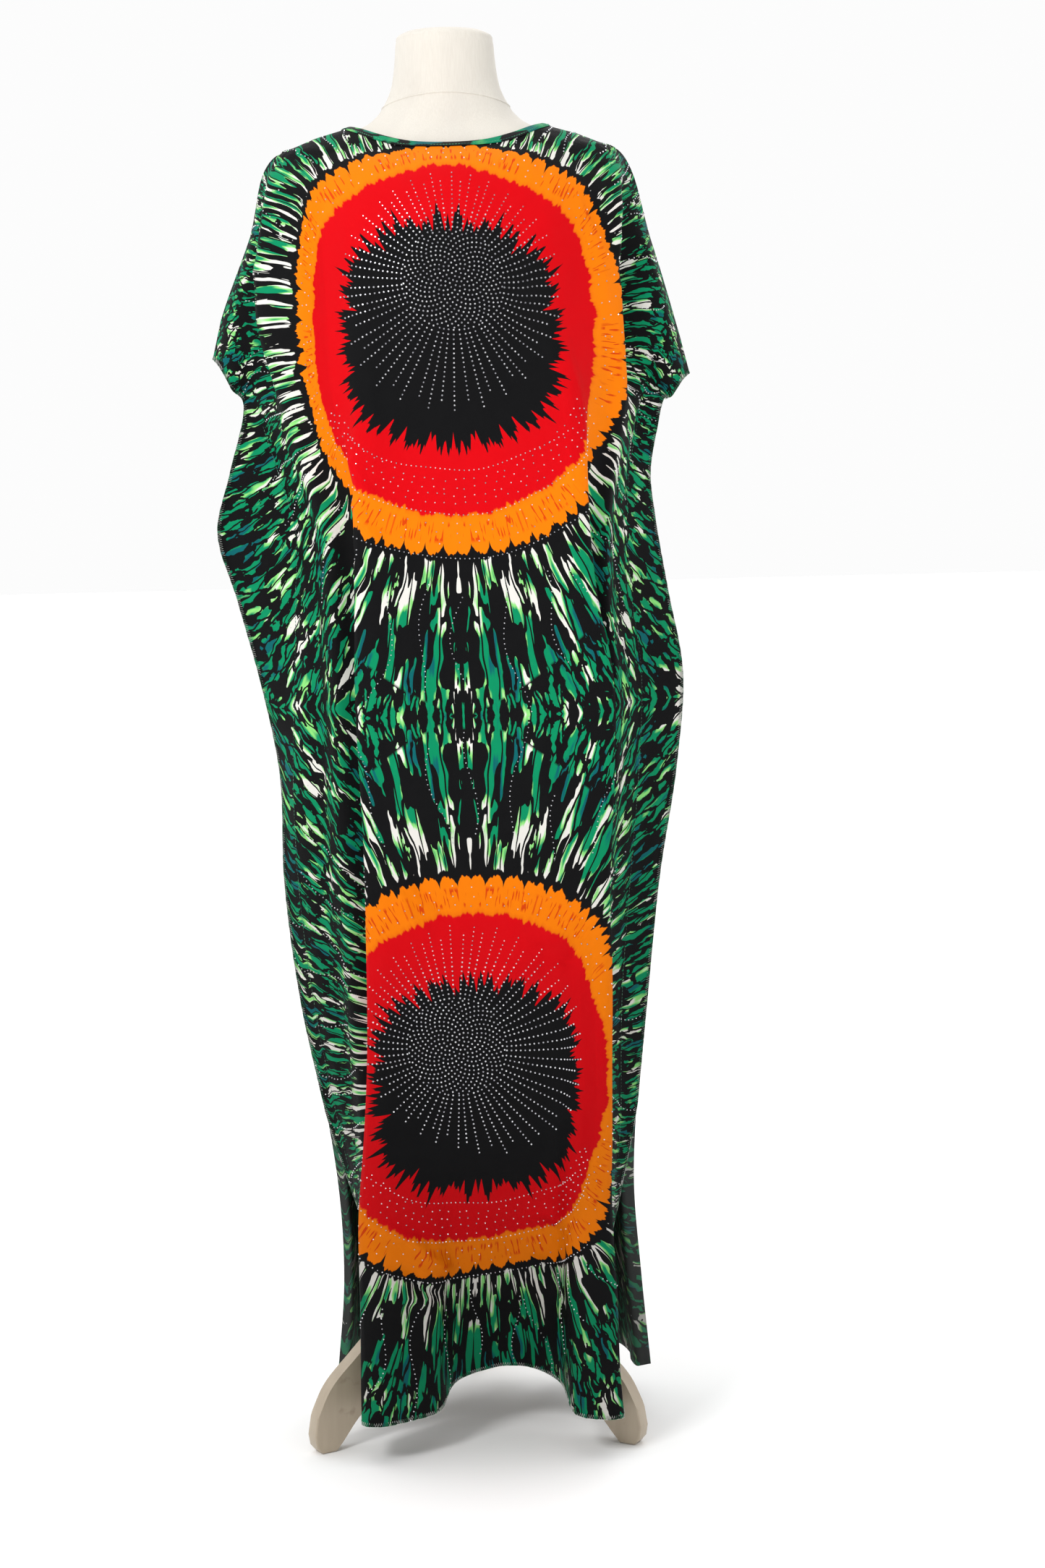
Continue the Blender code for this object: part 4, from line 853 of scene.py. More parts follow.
def cloth(name, front, form):
    """A panel's thin shell, and its outer side's points, normals and places on the print."""
    side, middle = (SIDE_CELLS, FACE_CELLS) if front else (BACK_SIDE_CELLS, BACK_FACE_CELLS)
    sheet = panel(front_net() if front else back_net(), side, middle)
    if not front:
        sheet = lay_over_leg(sheet)
    places = cloth_places(sheet, sum(side) * FINE_ACROSS, PRINT_LINE if front else ((0, 0), (1, 0)), front)
    outward = -1 if front else 1
    height = crease_height(places, FRONT_CREASES if front else BACK_CREASES) * crease_room(sheet.shape[1], side)
    if not front:
        over_leg = np.clip((OVER_LEG_FROM - sheet[:, :, 2]) / SMOOTH_DEPTH, 0, 1)
        height *= 1 - over_leg * np.exp(-((sheet[:, :, 0] / SMOOTH_WIDTH) ** 2))
    sheet = sheet + AXIS + height[:, :, None] * normals(sheet, outward)
    sheet = clear_of(form, sheet, FORM_GAP)
    inner = sheet + SHELL[0] * normals(sheet, outward)
    near_top = outward * (inner[:2, :, 1] - AXIS[1])
    inner[:2, :, 1] = AXIS[1] + outward * np.maximum(near_top, SEAM_GAP / 2)
    outer = inner + (SHELL[1] - SHELL[0]) * normals(inner, outward, True)
    turned = slice(None, None, -outward)
    points, faces = wall_mesh(inner[:, turned], outer[:, turned], not front)
    flat = places[:, turned].reshape(-1, 2)
    made = add_piece(name, points, faces, "print wrong_side", np.concatenate([flat, flat]))
    slots = np.zeros(len(faces), dtype=np.int32)
    slots[: 2 * (sheet.shape[0] - 1) * (sheet.shape[1] - 1)] = 1
    made.data.polygons.foreach_set("material_index", slots)
    return made, outer, unit(normals(outer, outward)), places


def shell_edge(outer, facing, side):
    """The free edge of a panel's outer side, the line EDGE_WIDTH in from it, and the cloth's normals there."""
    if side == "hem":
        outer, facing = outer.transpose(1, 0, 2), facing.transpose(1, 0, 2)
    if side in ("hem", "right"):
        outer, facing = outer[:, ::-1], facing[:, ::-1]
    near = outer[:, :EDGE_COLUMNS]
    inner = np.array([points_at(EDGE_WIDTH, far, row) for far, row in zip(gone_along(near, 1), near)])
    return outer[:, 0], inner, facing[:, 1]


def resampled(step, *lines):
    """Lines cut anew into equal steps along the first of them."""
    gone = gone_along(lines[0])
    where = np.linspace(0, gone[-1], int(gone[-1] / step) + 1)
    return [points_at(where, gone, line) for line in lines]


def threads(paths, facing, radius, sides=4):
    """Points and faces of round threads along the paths, which lie as rows of points."""
    along = unit(np.gradient(paths, axis=1))
    aside = unit(np.cross(along, facing))
    up = unit(np.cross(aside, along))
    turn = ((np.arange(sides) + 0.5) * 2 * np.pi / sides)[:, None]
    points = paths[:, :, None] + radius * (np.cos(turn) * aside[:, :, None] + np.sin(turn) * up[:, :, None])
    index = np.arange(points.size // 3).reshape(points.shape[:3])
    faces = ring_quads(index)
    ends = np.concatenate([index[:, 0, ::-1], index[:, -1]])
    return points.reshape(-1, 3), np.concatenate([faces, ends]) if sides == 4 else faces


def stitches(line, up, half, radius, ends, middle):
    """Threads of the stitches along a line, each three points long, with half a stitch between them."""
    line, up = resampled(half, line, up)
    pick = np.arange(0, len(line) - 3, 3)[:, None] + np.arange(3)
    return threads(line[pick] + np.array([ends, middle, ends])[:, None] * up[pick], up[pick], radius)


def join(parts):
    """Several meshes' points and faces as one."""
    starts = np.cumsum([0] + [len(points) for points, _ in parts])
    return np.concatenate([points for points, _ in parts]), np.concatenate(
        [faces + start for (_, faces), start in zip(parts, starts)]
    )


def edge_sewing(name, outer, facing):
    """The overlock thread along a panel's two long edges and its hem."""
    parts = []
    for side in ("left", "right", "hem"):
        edge, inner, up = resampled(EDGE_PITCH / 2, *shell_edge(outer, facing, side))
        edge = edge - EDGE_OUT * unit(inner - edge)
        path = np.where((np.arange(len(edge)) % 2 == 0)[:, None], edge, inner) + EDGE_THREAD * ZIGZAG_LIFT * up
        parts.append(threads(path[None], up[None], EDGE_THREAD))
        parts.append(threads((edge + EDGE_THREAD * RIM_LIFT * up)[None], up[None], EDGE_THREAD * RIM_THREAD))
    return add_piece(name, *join(parts), "edge_thread")


def seam_sewing(name, outer, facing):
    """Straight stitches down both side seams, from the sleeves' foot to the slits' tops."""
    seam = SIDE_CELLS[0] * FINE_ACROSS
    rows = slice(TOP_ROW, int(np.searchsorted(-outer[:, seam, 2], -SLIT_TOP)))
    parts = [stitches(outer[rows, k], facing[rows, k], **SEAM_STITCH) for k in (seam, -1 - seam)]
    return add_piece(name, *join(parts), "seam_thread")


def around(centre, radius, turn):
    """Places round a centre on the print, turned from straight down."""
    return centre + np.asarray(radius)[..., None] * np.stack([np.sin(turn), np.cos(turn)], axis=-1)


def stone_places():
    """Places of all stones on the print: dense middles, rays, arcs, scattered rings and rows along the streaks."""
    pick = np.random.default_rng(11)
    found = []
    for number, middle in enumerate(STONE_CENTRES):
        sun = np.array([0.0, SUN_V + number * REPEAT])
        k = np.arange(STONE_SPIRAL)
        places = [*around(middle, SPIRAL_RADIUS * np.sqrt((k + 0.5) / STONE_SPIRAL), k * SPIRAL_TURN)]
        for ray in range(STONE_RAYS):
            turn = 2 * np.pi * (ray + RAY_JITTER * pick.uniform(-1, 1)) / STONE_RAYS
            low, high = RAY_REACH
            reach = low + (high - low) * ((1 - np.cos(turn)) / 2) ** RAY_POWER - ray % 2 * SHORT_RAY
            distance, place = RAY_START, around(middle, RAY_START, turn)
            while np.linalg.norm(place - sun) <= reach:
                places.append(place)
                distance += STONE_STEP
                place = around(middle, distance, turn + RAY_BEND * (distance - RAY_START) * np.sin(turn))
        for radius, growth, half in ARC_ROWS:
            half = np.radians(half)
            turn = np.linspace(-half, half, int(2 * half * radius / STONE_STEP))
            places += [*around(sun, radius + growth * turn**2 + ARC_WAVE[0] * np.sin(ARC_WAVE[1] * turn), turn)]
        for radius, step in SCATTER_ROWS:
            count = int(2 * np.pi * radius / step)
            turn = 2 * np.pi * (np.arange(count) + pick.uniform(-RING_JITTER, RING_JITTER, count)) / count
            ring = around(sun, radius + pick.uniform(-SCATTER_JITTER, SCATTER_JITTER, count), turn)
            places += [*ring[(radius > SCATTER_ALL_FROM) | (np.cos(turn) > SCATTER_COSINE)]]
        for row in range(DRIP_ROWS):
            turn = 2 * np.pi * (row + pick.uniform(-DRIP_JITTER, DRIP_JITTER)) / DRIP_ROWS
            start, length, bend, phase = (pick.uniform(*span) for span in DRIP_SPANS)
            distance = np.arange(start, start + length, STONE_STEP * DRIP_STEP)
            aside = bend * np.sin(DRIP_RATE * (distance - start) + phase) / distance
            places += [*around(sun, distance, turn + aside)]
        found += [place for place in places if (place[1] < SUN_V + REPEAT / 2) == (number == 0)]
    return found


def stones(outer, facing, places):
    """The glued stones on the front panel, as small six-sided domes."""
    flat = np.dstack([places, np.zeros(places.shape[:2])])
    tree, faces = grid_tree(flat), triangles(numbered(flat))
    on_print, on_cloth, up = (grid.reshape(-1, 3)[faces] for grid in (flat, outer, facing))
    parts, sizes = [], []
    for number, (u, v) in enumerate(stone_places()):
        near, _, face, distance = tree.find_nearest(Vector((u, v, 0.0)))
        if distance > OFF_CLOTH:
            continue
        seat = barycentric_transform(near, *map(Vector, on_print[face]), *map(Vector, on_cloth[face]))
        rise = Vector(np.mean(up[face], axis=0)).normalized()
        spin = Matrix.Rotation(number * STONE_SPIN, 3, rise) @ rise.orthogonal().normalized()
        sun_v = SUN_V if v < SUN_V + REPEAT / 2 else SUN_V + REPEAT
        sizes.append(STONE_RADIUS * (SMALL_STONE if np.hypot(u, v - sun_v) > SMALL_STONE_FROM else 1.0))
        parts.append((seat, rise, spin, rise.cross(spin)))
    seat, rise, spin, beside = np.array(parts).transpose(1, 0, 2)[:, :, None]
    turn = np.arange(6)[:, None] * np.pi / 3
    ring = np.array(sizes)[:, None, None] * (np.cos(turn) * spin + np.sin(turn) * beside)
    points = np.concatenate([seat + height * rise + share * ring for share, height in STONE_RINGS], axis=1)
    index = np.arange(points.size // 3).reshape(-1, len(STONE_RINGS), 6)
    print("stones:", len(points))
    return add_piece("stones", points.reshape(-1, 3), [*ring_quads(index), *index[:, -1]], "stone", sharp=20)


def neck_edge(front_out, back_out):
    """The bound neck edge: a soft rounded strip along the neckline, with its stitch line."""
    side, back_side = sum(SIDE_CELLS) * FINE_ACROSS, sum(BACK_SIDE_CELLS) * FINE_ACROSS + 1
    loop = np.concatenate([front_out[0, side:-side], back_out[0, back_side:-back_side][::-1]])
    trees = [grid_tree(front_out), grid_tree(back_out)]
    place = loop - AXIS
    depth = np.where(place[:, 1] < 0, FRONT_NECK[0], BACK_NECK[0])
    outward = unit(np.column_stack([place[:, 0] / NECK_CORNER[0] ** 2, place[:, 1] / depth**2]))
    shares = np.linspace(0, 1, BAND_LINES)
    strip = np.empty((len(loop), BAND_LINES, 3))
    for k, start in enumerate(loop):
        path, gone = [start], [0.0]
        while gone[-1] < NECK_BAND:
            x, y = path[-1][:2] + BAND_STEP * outward[k]
            z = height_over(trees, x, y)
            path.append(np.array([x, y, path[-1][2] if z is None else z]))
            gone.append(gone[-1] + np.linalg.norm(path[-1] - path[-2]))
        strip[k] = points_at(NECK_BAND * shares, gone, path)
    for _ in range(BAND_SMOOTHINGS):
        strip = (np.roll(strip, 1, axis=0) + 2 * strip + np.roll(strip, -1, axis=0)) / 4
    ahead = np.roll(strip, -1, axis=0) - np.roll(strip, 1, axis=0)
    up = unit(np.cross(ahead, np.gradient(strip, axis=1)))
    up *= np.sign(up[:, :, 2:])
    under = strip + BAND_UNDER * up
    crown = np.sin(np.pi * np.clip(shares, BAND_RIM, 1 - BAND_RIM)) ** BAND_POWER
    over = under + (BAND_OVER + BAND_CROWN * crown)[None, :, None] * up
    index = numbered(strip)
    index, top = np.vstack([index, index[:1]]), index.size
    a, b, c, d = cells(index)
    faces = [np.column_stack([d, c, b, a]), np.column_stack([a, b, c, d]) + top]
    for line, turn in ((index[:, 0], -1), (index[:, -1], 1)):
        a, d = line[:-1], line[1:]
        faces.append(np.column_stack([a, d, d + top, a + top])[:, ::turn])
    gone = np.broadcast_to(gone_along(loop)[:, None], strip.shape[:2])
    flat = np.dstack([gone, np.broadcast_to(shares * NECK_BAND, strip.shape[:2])]).reshape(-1, 2)
    points = np.concatenate([under.reshape(-1, 3), over.reshape(-1, 3)])
    band = add_piece("neck_edge", points, np.concatenate(faces), "neck_print", np.concatenate([flat, flat]))
    line, rise = (np.concatenate([grid, grid[:1]])[:, STITCHED_LINE] for grid in (over, up))
    return band, add_piece("neck_stitches", *stitches(line, rise, **NECK_STITCH), "neck_thread")


def form_surface(turn, heights):
    """The form's cover at the given turns and heights, as a grid of points."""
    rows = np.column_stack([FORM["half_width"], FORM["front"], FORM["back"], FORM["power"]])[:, None]
    half, front, back, power = np.moveaxis(down_spline(FORM["z"], rows, heights), 2, 0)
    c, s = np.cos(turn), np.sin(turn)
    x = half * np.sign(c) * np.abs(c) ** (2 / power)
    y = np.where(s < 0, front, back) * np.sign(s) * np.abs(s) ** (2 / power)
    return np.dstack([x, y, np.broadcast_to(heights[:, None], x.shape)]) + AXIS


def form_cover():
    """The form in its stretched jersey, and the seam round its neck."""
    turn = np.arange(COVER_SIDES) * 2 * np.pi / COVER_SIDES
    grid = form_surface(turn, cut(FORM["z"], COVER_RINGS))
    index = numbered(grid)
    faces = [*ring_quads(index), index[0, ::-1], index[-1]]
    body = add_piece("form_cover", grid.reshape(-1, 3), faces, "jersey", sharp=50)
    turn = np.arange(COVER_SEAM_SIDES) * 2 * np.pi / COVER_SEAM_SIDES
    level = np.where(np.sin(turn) < 0, COVER_SEAM["front"], COVER_SEAM["back"])
    level = COVER_SEAM["side"] + (level - COVER_SEAM["side"]) * np.abs(np.sin(turn)) ** COVER_SEAM_POWER
    line = np.array([form_surface(np.array([t]), np.array([h]))[0, 0] for t, h in zip(turn, level)])
    out = unit((line - AXIS) * np.array([1, 1, 0]))
    line, out = (np.concatenate([row, row[:1]])[None] for row in (line - COVER_SEAM_SUNK * out, out))
    return body, add_piece("form_seam", *threads(line, out, COVER_SEAM_RADIUS, 8), "jersey")


def bevelled_leg(name, degrees):
    """A leg with softly rounded edges, cut from the same outline as the solid."""
    work = bmesh.new()
    sides = (-LEG_THICKNESS / 2, LEG_THICKNESS / 2)
    low, high = ([work.verts.new((r, y, z)) for r, z in leg_outline()] for y in sides)
    work.faces.new(low)
    work.faces.new(high[::-1])
    for k in range(len(low)):
        n = (k + 1) % len(low)
        work.faces.new((low[n], low[k], high[k], high[n]))
    rims = [e for e in work.edges if abs(e.verts[0].co.y - e.verts[1].co.y) < 1e-6]
    bmesh.ops.bevel(work, geom=rims, affect="EDGES", clamp_overlap=True, **LEG_BEVEL)
    bmesh.ops.recalc_face_normals(work, faces=work.faces)
    spin = Matrix.Translation(Vector(AXIS)) @ Matrix.Rotation(np.radians(degrees), 4, "Z")
    bmesh.ops.transform(work, matrix=spin, verts=work.verts)
    mesh = bpy.data.meshes.new(name)
    work.to_mesh(mesh)
    work.free()
    mesh.shade_smooth()
    mesh.set_sharp_from_angle(angle=np.radians(40))
    mesh.materials.append(MATERIAL["painted_wood"])
    return linked(name, mesh)


class Value:
    """A node's output, which can be reckoned with as a number can."""

    def __init__(self, shader, socket):
        self.shader, self.socket = shader, socket

    def __add__(self, other):
        return self.shader.math("ADD", self, other)

    def __sub__(self, other):
        return self.shader.math("SUBTRACT", self, other)

    def __rsub__(self, other):
        return self.shader.math("SUBTRACT", other, self)

    def __mul__(self, other):
        return self.shader.math("MULTIPLY", self, other)

    def __pow__(self, other):
        return self.shader.math("POWER", self, other)

    def past(self, edge, soft):
        """0 below the edge and 1 above it, with a soft step between."""
        return self.shader.math("ADD", self.shader.math("DIVIDE", self - edge, soft), 0.5, clamp=True)


class Shader:
    """The nodes of a material or a world."""

    def __init__(self, holder):
        self.holder, holder.use_nodes = holder, True
        self.nodes, self.links = holder.node_tree.nodes, holder.node_tree.links
        self.nodes.clear()

    def node(self, kind, sockets=(), output=0, **settings):
        """A new node's output, with numbers, colours or other outputs on its sockets."""
        made = self.nodes.new("ShaderNode" + kind)
        for key, value in settings.items():
            setattr(made, key, value)
        for key, value in dict(sockets).items():
            socket = made.inputs[key]
            if isinstance(value, Value):
                self.links.new(value.socket, socket)
            else:
                socket.default_value = (*value, 1.0) if socket.type == "RGBA" else value
        return Value(self, made.outputs[output]) if made.outputs else None

    def math(self, operation, *values, clamp=False):
        return self.node("Math", enumerate(values), operation=operation, use_clamp=clamp)

    def mix(self, share, first, second):
        return self.node("Mix", {0: share, 6: first, 7: second}, 2, data_type="RGBA")

    def vector(self, *values):
        return self.node("CombineXYZ", enumerate(values))

    def split(self, vector):
        return [Value(self, out) for out in self.node("SeparateXYZ", {0: vector}).socket.node.outputs]

    def noise(self, vector, scale=1.0, detail=2.0, flat=True, roughness=0.5):
        sockets = {"Vector": vector, "Scale": scale, "Detail": detail, "Roughness": roughness}
        return self.node("TexNoise", sockets, noise_dimensions="2D" if flat else "3D")

    def grain(self, place, across, up, detail):
        """Noise that is stretched upwards."""
        return self.noise(self.vector(place[0] * across, place[1] * across, place[2] * up), 1.0, detail, False)

    def ring_noise(self, turn, scale):
        return self.node("TexNoise", {"W": turn, "Scale": scale, "Detail": 2.0}, noise_dimensions="1D")

    def cells(self, turn, scale, feature="F1"):
        sockets = {"W": turn, "Scale": scale}
        return self.node("TexVoronoi", sockets, "Distance", voronoi_dimensions="1D", feature=feature)

    def ramp(self, share, stops):
        made = self.node("ValToRGB", {0: share})
        ramp = made.socket.node.color_ramp
        ramp.interpolation = "EASE"
        while len(ramp.elements) < len(stops):
            ramp.elements.new(0.5)
        for stop, (place, colour) in zip(ramp.elements, stops):
            stop.position, stop.color = place, (*colour, 1.0)
        return made

    def finish(self, colour, roughness, height=None, bump=0.0001, **fixed):
        sockets = {"Base Color": colour, "Roughness": roughness}
        sockets.update((key.replace("_", " "), value) for key, value in fixed.items())
        if height is not None:
            sockets["Normal"] = self.node("Bump", {"Height": height, "Distance": bump, "Strength": 1.0})
        self.node("OutputMaterial", {0: self.node("BsdfPrincipled", sockets)})
        return self.holder


def streaks(s, turn, radius, per_radian, per_metre, shift, cover, gap):
    """Soft-ended streaks that point outwards: 1 inside one, and how deep inside."""
    across, along = turn * per_radian, radius * per_metre
    warp = (s.noise(s.vector(across * 0.5, along * 1.6), detail=1.0) - 0.5) * 1.3
    blots = s.noise(s.vector(across + warp + shift, along + shift), detail=1.0, roughness=0.35)
    fine = s.noise(s.vector(across * 1.5, along * 5.0), detail=1.0)
    depth = blots + (fine - 0.5) * 0.16
    sockets = {"Vector": s.vector(across + warp * 0.6, (along + fine * 0.3) * 0.9), "Scale": 0.9}
    edge = s.node("TexVoronoi", sockets, "Distance", voronoi_dimensions="2D", feature="DISTANCE_TO_EDGE")
    return depth.past(cover, soft=0.012) * edge.past(gap, soft=0.03), depth


def print_and_painted_shade(s):
    """The printed pattern: two sunbursts one above the other, with streaks that run out from them, and painted shade
    that darkens it towards the hem.
    """
    place = s.split(s.node("UVMap", uv_map="Print"))
    x, v = s.math("ABSOLUTE", place[0]), place[1]
    w = s.math("PINGPONG", v + (REPEAT / 2 - SUN_V), REPEAT) - REPEAT / 2
    turn = s.math("ARCTAN2", x, w)
    slow = s.noise(s.vector(x, w), 9.0)
    radius = s.math("SQRT", x * x + w * w) + (slow - 0.5) * 0.012

    def wobble(scale, height):
        return (s.ring_noise(turn, scale) - 0.5) * height

    spikes = s.cells(turn, 10.0) ** 0.7 * -0.024
    small_spikes = s.cells(turn, 27.0) ** 0.8 * -0.018
    square = s.math("COSINE", turn * 4.0) * -0.0065
    higher = s.math("COSINE", turn) * -0.005
    core_edge = spikes + small_spikes + (square + higher) + wobble(9.0, 0.030) + CORE_RADIUS
    teeth = s.cells(turn, 21.0) * -0.005 + s.ring_noise(turn, 48.0) * 0.007
    red_edge = teeth + wobble(8.0, 0.012) + RED_RADIUS
    lobes = s.math("MULTIPLY", s.cells(turn, 13.0, "DISTANCE_TO_EDGE"), 2.8, clamp=True) ** 0.4
    lobe_depth = s.ring_noise(turn, 19.0) ** 2.0 * 0.042
    orange_edge = (lobes - 1.0) * lobe_depth + ORANGE_RADIUS + wobble(36.0, 0.014)

    dashes = s.noise(s.vector(turn * 74.0, radius * 44.0), detail=1.0)
    dashes = dashes.past(0.620, soft=0.035) * s.ring_noise(turn, 3.1).past(0.48, soft=0.05)
    dashes = dashes * (radius.past(DASHES_FROM, soft=0.004) * (1.0 - radius.past(DASHES_TO, soft=0.004)))
    border = 1.0 - radius.past(red_edge + 0.0030, soft=0.0060)
    disc = s.mix(s.math("MAXIMUM", dashes * 0.85, border * 0.22), ORANGE, DEEP_ORANGE)
    disc = s.mix(radius.past(red_edge, soft=0.0022), s.mix(slow * 0.30, RED, DEEP_RED), disc)
    disc = s.mix(radius.past(core_edge, soft=0.0012), BLACK, disc)

    near, near_depth = streaks(s, turn, radius, *NEAR_STREAKS)
    far, far_depth = streaks(s, turn, radius, *FAR_STREAKS)
    outer = (radius + x * 0.45).past(FAR_FROM, soft=0.030)
    inner = 1.0 - outer
    start = s.ring_noise(turn, 24.0) * 0.020 + 0.2250
    inside = (near * inner + far * outer).past(0.5, soft=0.10) * radius.past(start, soft=0.0012)
    rim = s.math("MINIMUM", near_depth * inner + far_depth * outer - 0.60, 0.0) * 1.6
    drift = s.noise(s.vector(turn * 24.0, radius * 13.0)) - 0.5
    shade = (radius - 0.222) * 8.0 + (rim + drift * 1.9)
    shade = s.math("MINIMUM", shade, s.math("ADD", 0.52, drift * 2.7))
    dye = s.ramp(shade, ((0.12, WHITE), (0.27, PALE_GREEN), (0.42, GREEN), (0.80, GREEN), (1.0, TEAL)))
    whole = s.mix(radius.past(orange_edge, soft=0.0011), disc, s.mix(inside, BLACK, dye))
    # Painted shade: the colour is blended towards black down the cloth, by up to 40 % at the hem, standing in for
    # light that falls off lower on the dress
    painted_shade_below = v.past(0.92, soft=0.50) * 0.40
    return s.mix(painted_shade_below, whole, (0.0, 0.0, 0.0)), place


def weave(s, place):
    """Height of a plain weave."""
    first, second = (s.math("SINE", place[k] * (2 * np.pi / THREAD_PITCH)) for k in (0, 1))
    return first * second + s.noise(s.vector(*place[:2]), 70.0, 3.0) * 1.6


def printed(s):
    colour, place = print_and_painted_shade(s)
    wear = s.noise(s.vector(*place[:2]), 55.0, 3.0)
    colour = s.mix(wear * 0.010, colour, LINT)
    return s.finish(colour, wear * 0.16 + 0.46, weave(s, place), 0.00005, Specular_IOR_Level=0.045)


def wrong_side(s):
    colour, place = print_and_painted_shade(s)
    wear = s.noise(s.vector(*place[:2]), 40.0, 3.0)
    colour = s.mix(wear * 0.12 + 0.30, colour, REVERSE)
    return s.finish(colour, wear * 0.1 + 0.7, weave(s, place), 0.00006, Specular_IOR_Level=0.12)


def neck_print(s):
    place = s.split(s.node("UVMap", uv_map="Print"))
    patch = s.noise(s.vector(place[0] * 26.0, place[1] * 70.0))
    tone = s.noise(s.vector(place[0] * 17.0, 3.0))
    dye = s.ramp(tone, ((0.30, PALE_GREEN), (0.45, GREEN), (0.62, TEAL)))
    colour = s.mix(patch.past(0.50, soft=0.03), BLACK, dye)
    return s.finish(colour, patch * 0.1 + 0.5, weave(s, place), 0.00006, Specular_IOR_Level=0.16)


def thread(s, first, second, scale):
    where = s.node("TexCoord", output="Object")
    twist = s.noise(where, 2600.0, 1.0, flat=False)
    colour = s.mix(s.noise(where, scale, flat=False).past(0.5, soft=0.08), first, second)
    return s.finish(colour, twist * 0.2 + 0.6, twist, 0.00008, Specular_IOR_Level=0.3)


def stone(s):
    tone = s.noise(s.node("TexCoord", output="Object"), 190.0, 1.0, flat=False)
    return s.finish(s.ramp(tone, ((0.35, STONE_DARK), (0.66, STONE_LIGHT))), tone * 0.30 + 0.16, Metallic=0.80)


def jersey(s):
    where = s.node("TexCoord", output="Object")
    place = s.split(where)
    rib = s.grain(place, 900.0, 45.0, 2.0)
    wash = s.grain(place, 30.0, 7.0, 3.0)
    stain = s.noise(where, 13.0, 3.0, flat=False)
    colour = s.mix(rib.past(0.5, soft=0.8), *JERSEY)
    colour = s.mix(wash.past(0.56, soft=0.3) * 0.30, colour, JERSEY_WASH)
    colour = s.mix(stain.past(0.62, soft=0.12) * 0.10, colour, JERSEY_STAIN)
    return s.finish(colour, rib * 0.1 + 0.82, rib, 0.00022, Sheen_Weight=0.2, Specular_IOR_Level=0.2)


def painted_wood(s):
    where = s.node("TexCoord", output="Object")
    grain = s.grain(s.split(where), 60.0, 9.0, 4.0)
    scuff = s.noise(where, 34.0, 4.0, flat=False)
    colour = s.mix(grain.past(0.5, soft=0.5), *PAINT)
    colour = s.mix(scuff.past(0.66, soft=0.06) * 0.5, colour, SCUFF)
    return s.finish(colour, scuff * 0.25 + 0.30, grain, 0.00015, Coat_Weight=0.15, Coat_Roughness=0.3)


def floor_paint(s):
    tone = s.noise(s.node("TexCoord", output="Object"), 1.5, flat=False)
    return s.finish(s.mix(tone, *FLOOR), 0.9, Specular_IOR_Level=0.05)


def stage():
    corners = [(x * FLOOR_HALF, y * FLOOR_HALF, 0) for x, y in ((-1, -1), (1, -1), (1, 1), (-1, 1))]
    floor = add_piece("floor", corners, [(0, 1, 2, 3)], "floor_paint")
    floor.location.z = FLOOR_HEIGHT
    for name, (place, aim, size, watts) in LIGHTS.items():
        lamp = linked(name, bpy.data.lights.new(name, "AREA"))
        lamp.data.shape, lamp.data.size, lamp.data.energy = "SQUARE", size, watts
        lamp.location = place
        lamp.rotation_euler = (Vector((0, 0, aim)) - Vector(place)).to_track_quat("-Z", "Y").to_euler()
    above = linked("above", bpy.data.lights.new("above", "SUN"))
    above.data.energy, above.data.angle = SUN_STRENGTH, SUN_ANGLE
    world = bpy.data.worlds.new("studio")
    s = Shader(world)
    _, y, z = s.split(s.node("TexCoord", output="Generated"))
    high, front = s.node("MapRange", {0: z, **SKY_HIGH}), s.node("MapRange", {0: y, **SKY_FRONT})
    sky = s.node("Background", {0: (1.0, 1.0, 1.0), 1: s.math("MULTIPLY_ADD", high, front, SKY)})
    s.node("OutputWorld", {0: sky})
    bpy.context.scene.world = world
    bpy.context.scene.view_settings.view_transform = "Standard"


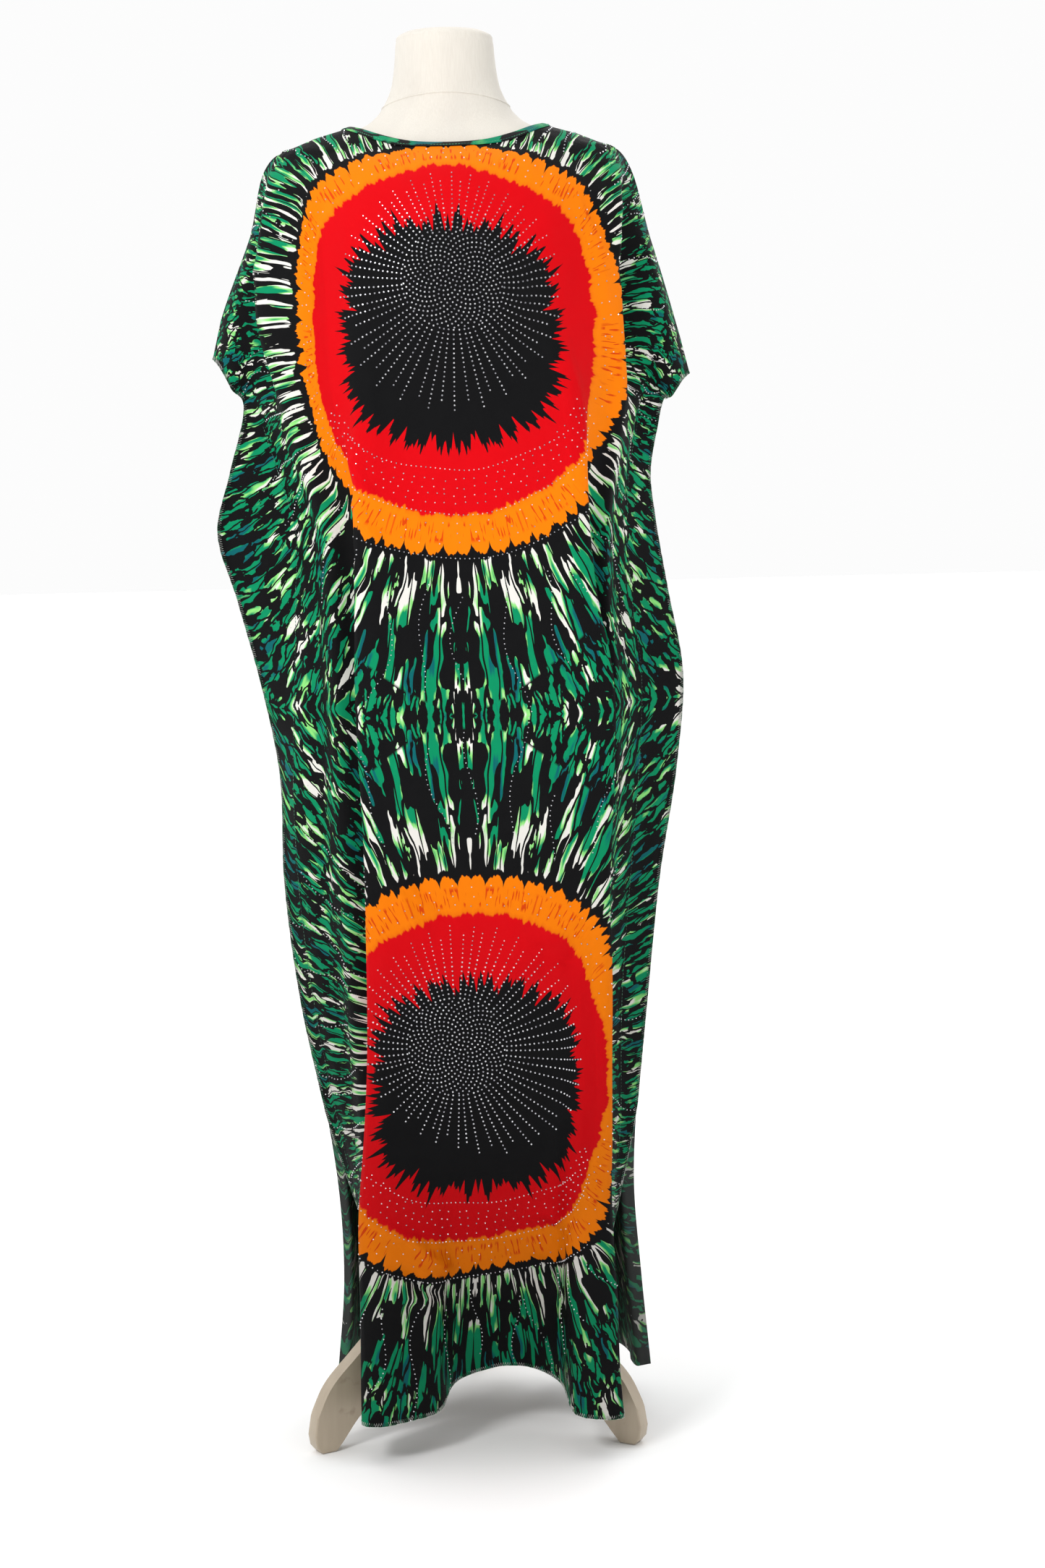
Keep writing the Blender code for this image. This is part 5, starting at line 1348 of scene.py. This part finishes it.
def camera():
    yaw, pitch, roll = np.radians((CAMERA_YAW, CAMERA_PITCH, CAMERA_ROLL))
    ahead = np.array([np.sin(yaw) * np.cos(pitch), np.cos(yaw) * np.cos(pitch), -np.sin(pitch)])
    right = np.array([np.cos(yaw), -np.sin(yaw), 0.0])
    up = np.cross(right, ahead)
    x = right * np.cos(roll) + up * np.sin(roll)
    y = -right * np.sin(roll) + up * np.cos(roll)
    made = linked("camera", bpy.data.cameras.new("camera"))
    made.data.lens, made.data.sensor_width, made.data.sensor_fit = CAMERA_LENS, 36, "AUTO"
    turn = Matrix(np.column_stack([x, y, -ahead]).tolist()).to_4x4()
    spot = AXIS + np.array([0.0, -CAMERA_DISTANCE, CAMERA_HEIGHT])
    made.matrix_world = Matrix.Translation(Vector(spot)) @ turn
    bpy.context.scene.camera = made


AXIS = np.append(np.mean(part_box("stand_pole"), axis=0)[:2], 0.0)
# The print and wrong_side materials both carry the painted shade that darkens the print towards the hem
LOOKS = {
    "print": printed, "wrong_side": wrong_side, "neck_print": neck_print, "stone": stone, "jersey": jersey,
    "painted_wood": painted_wood, "floor_paint": floor_paint,
}
MATERIAL = {name: make(Shader(bpy.data.materials.new(name))) for name, make in LOOKS.items()}
for name, looks in THREADS.items():
    MATERIAL[name] = thread(Shader(bpy.data.materials.new(name)), *looks)
stage()
camera()
form_shape = node_tree("form_torso")
front, front_out, front_up, front_places = cloth("front_panel", True, form_shape)
back, back_out, back_up, _ = cloth("back_panel", False, form_shape)
neck, neck_sewing = neck_edge(front_out, back_out)
form, form_seam = form_cover()
gems = stones(front_out, front_up, front_places)
sewing = [
    edge_sewing("front_edge_sewing", front_out, front_up),
    edge_sewing("back_edge_sewing", back_out, back_up),
    seam_sewing("front_seam_sewing", front_out, front_up),
    seam_sewing("back_seam_sewing", back_out, back_up),
]
legs = [(bevelled_leg(name + "_shaped", degrees), name) for name, degrees in LEGS]

for piece in (front, back, neck, neck_sewing, form, form_seam, gems, *sewing, *(leg for leg, _ in legs)):
    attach(piece, "root")
for leg, name in legs:
    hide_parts(name)
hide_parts("dress_front")
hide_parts("dress_back")
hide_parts("neck_band")
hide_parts("form_torso")
for name in ("stand_hub", "stand_pole"):
    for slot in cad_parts[name].material_slots:
        slot.material = MATERIAL["painted_wood"]
for piece, flat, sewn in ((front, FRONT_CUT, [gems, sewing[0], sewing[2]]), (back, BACK_CUT, [sewing[1], sewing[3]])):
    area = sum(p.area for p in piece.data.polygons) / 2
    print(piece.name, "area", round(area, 3), "triangles", len(piece.data.polygons))
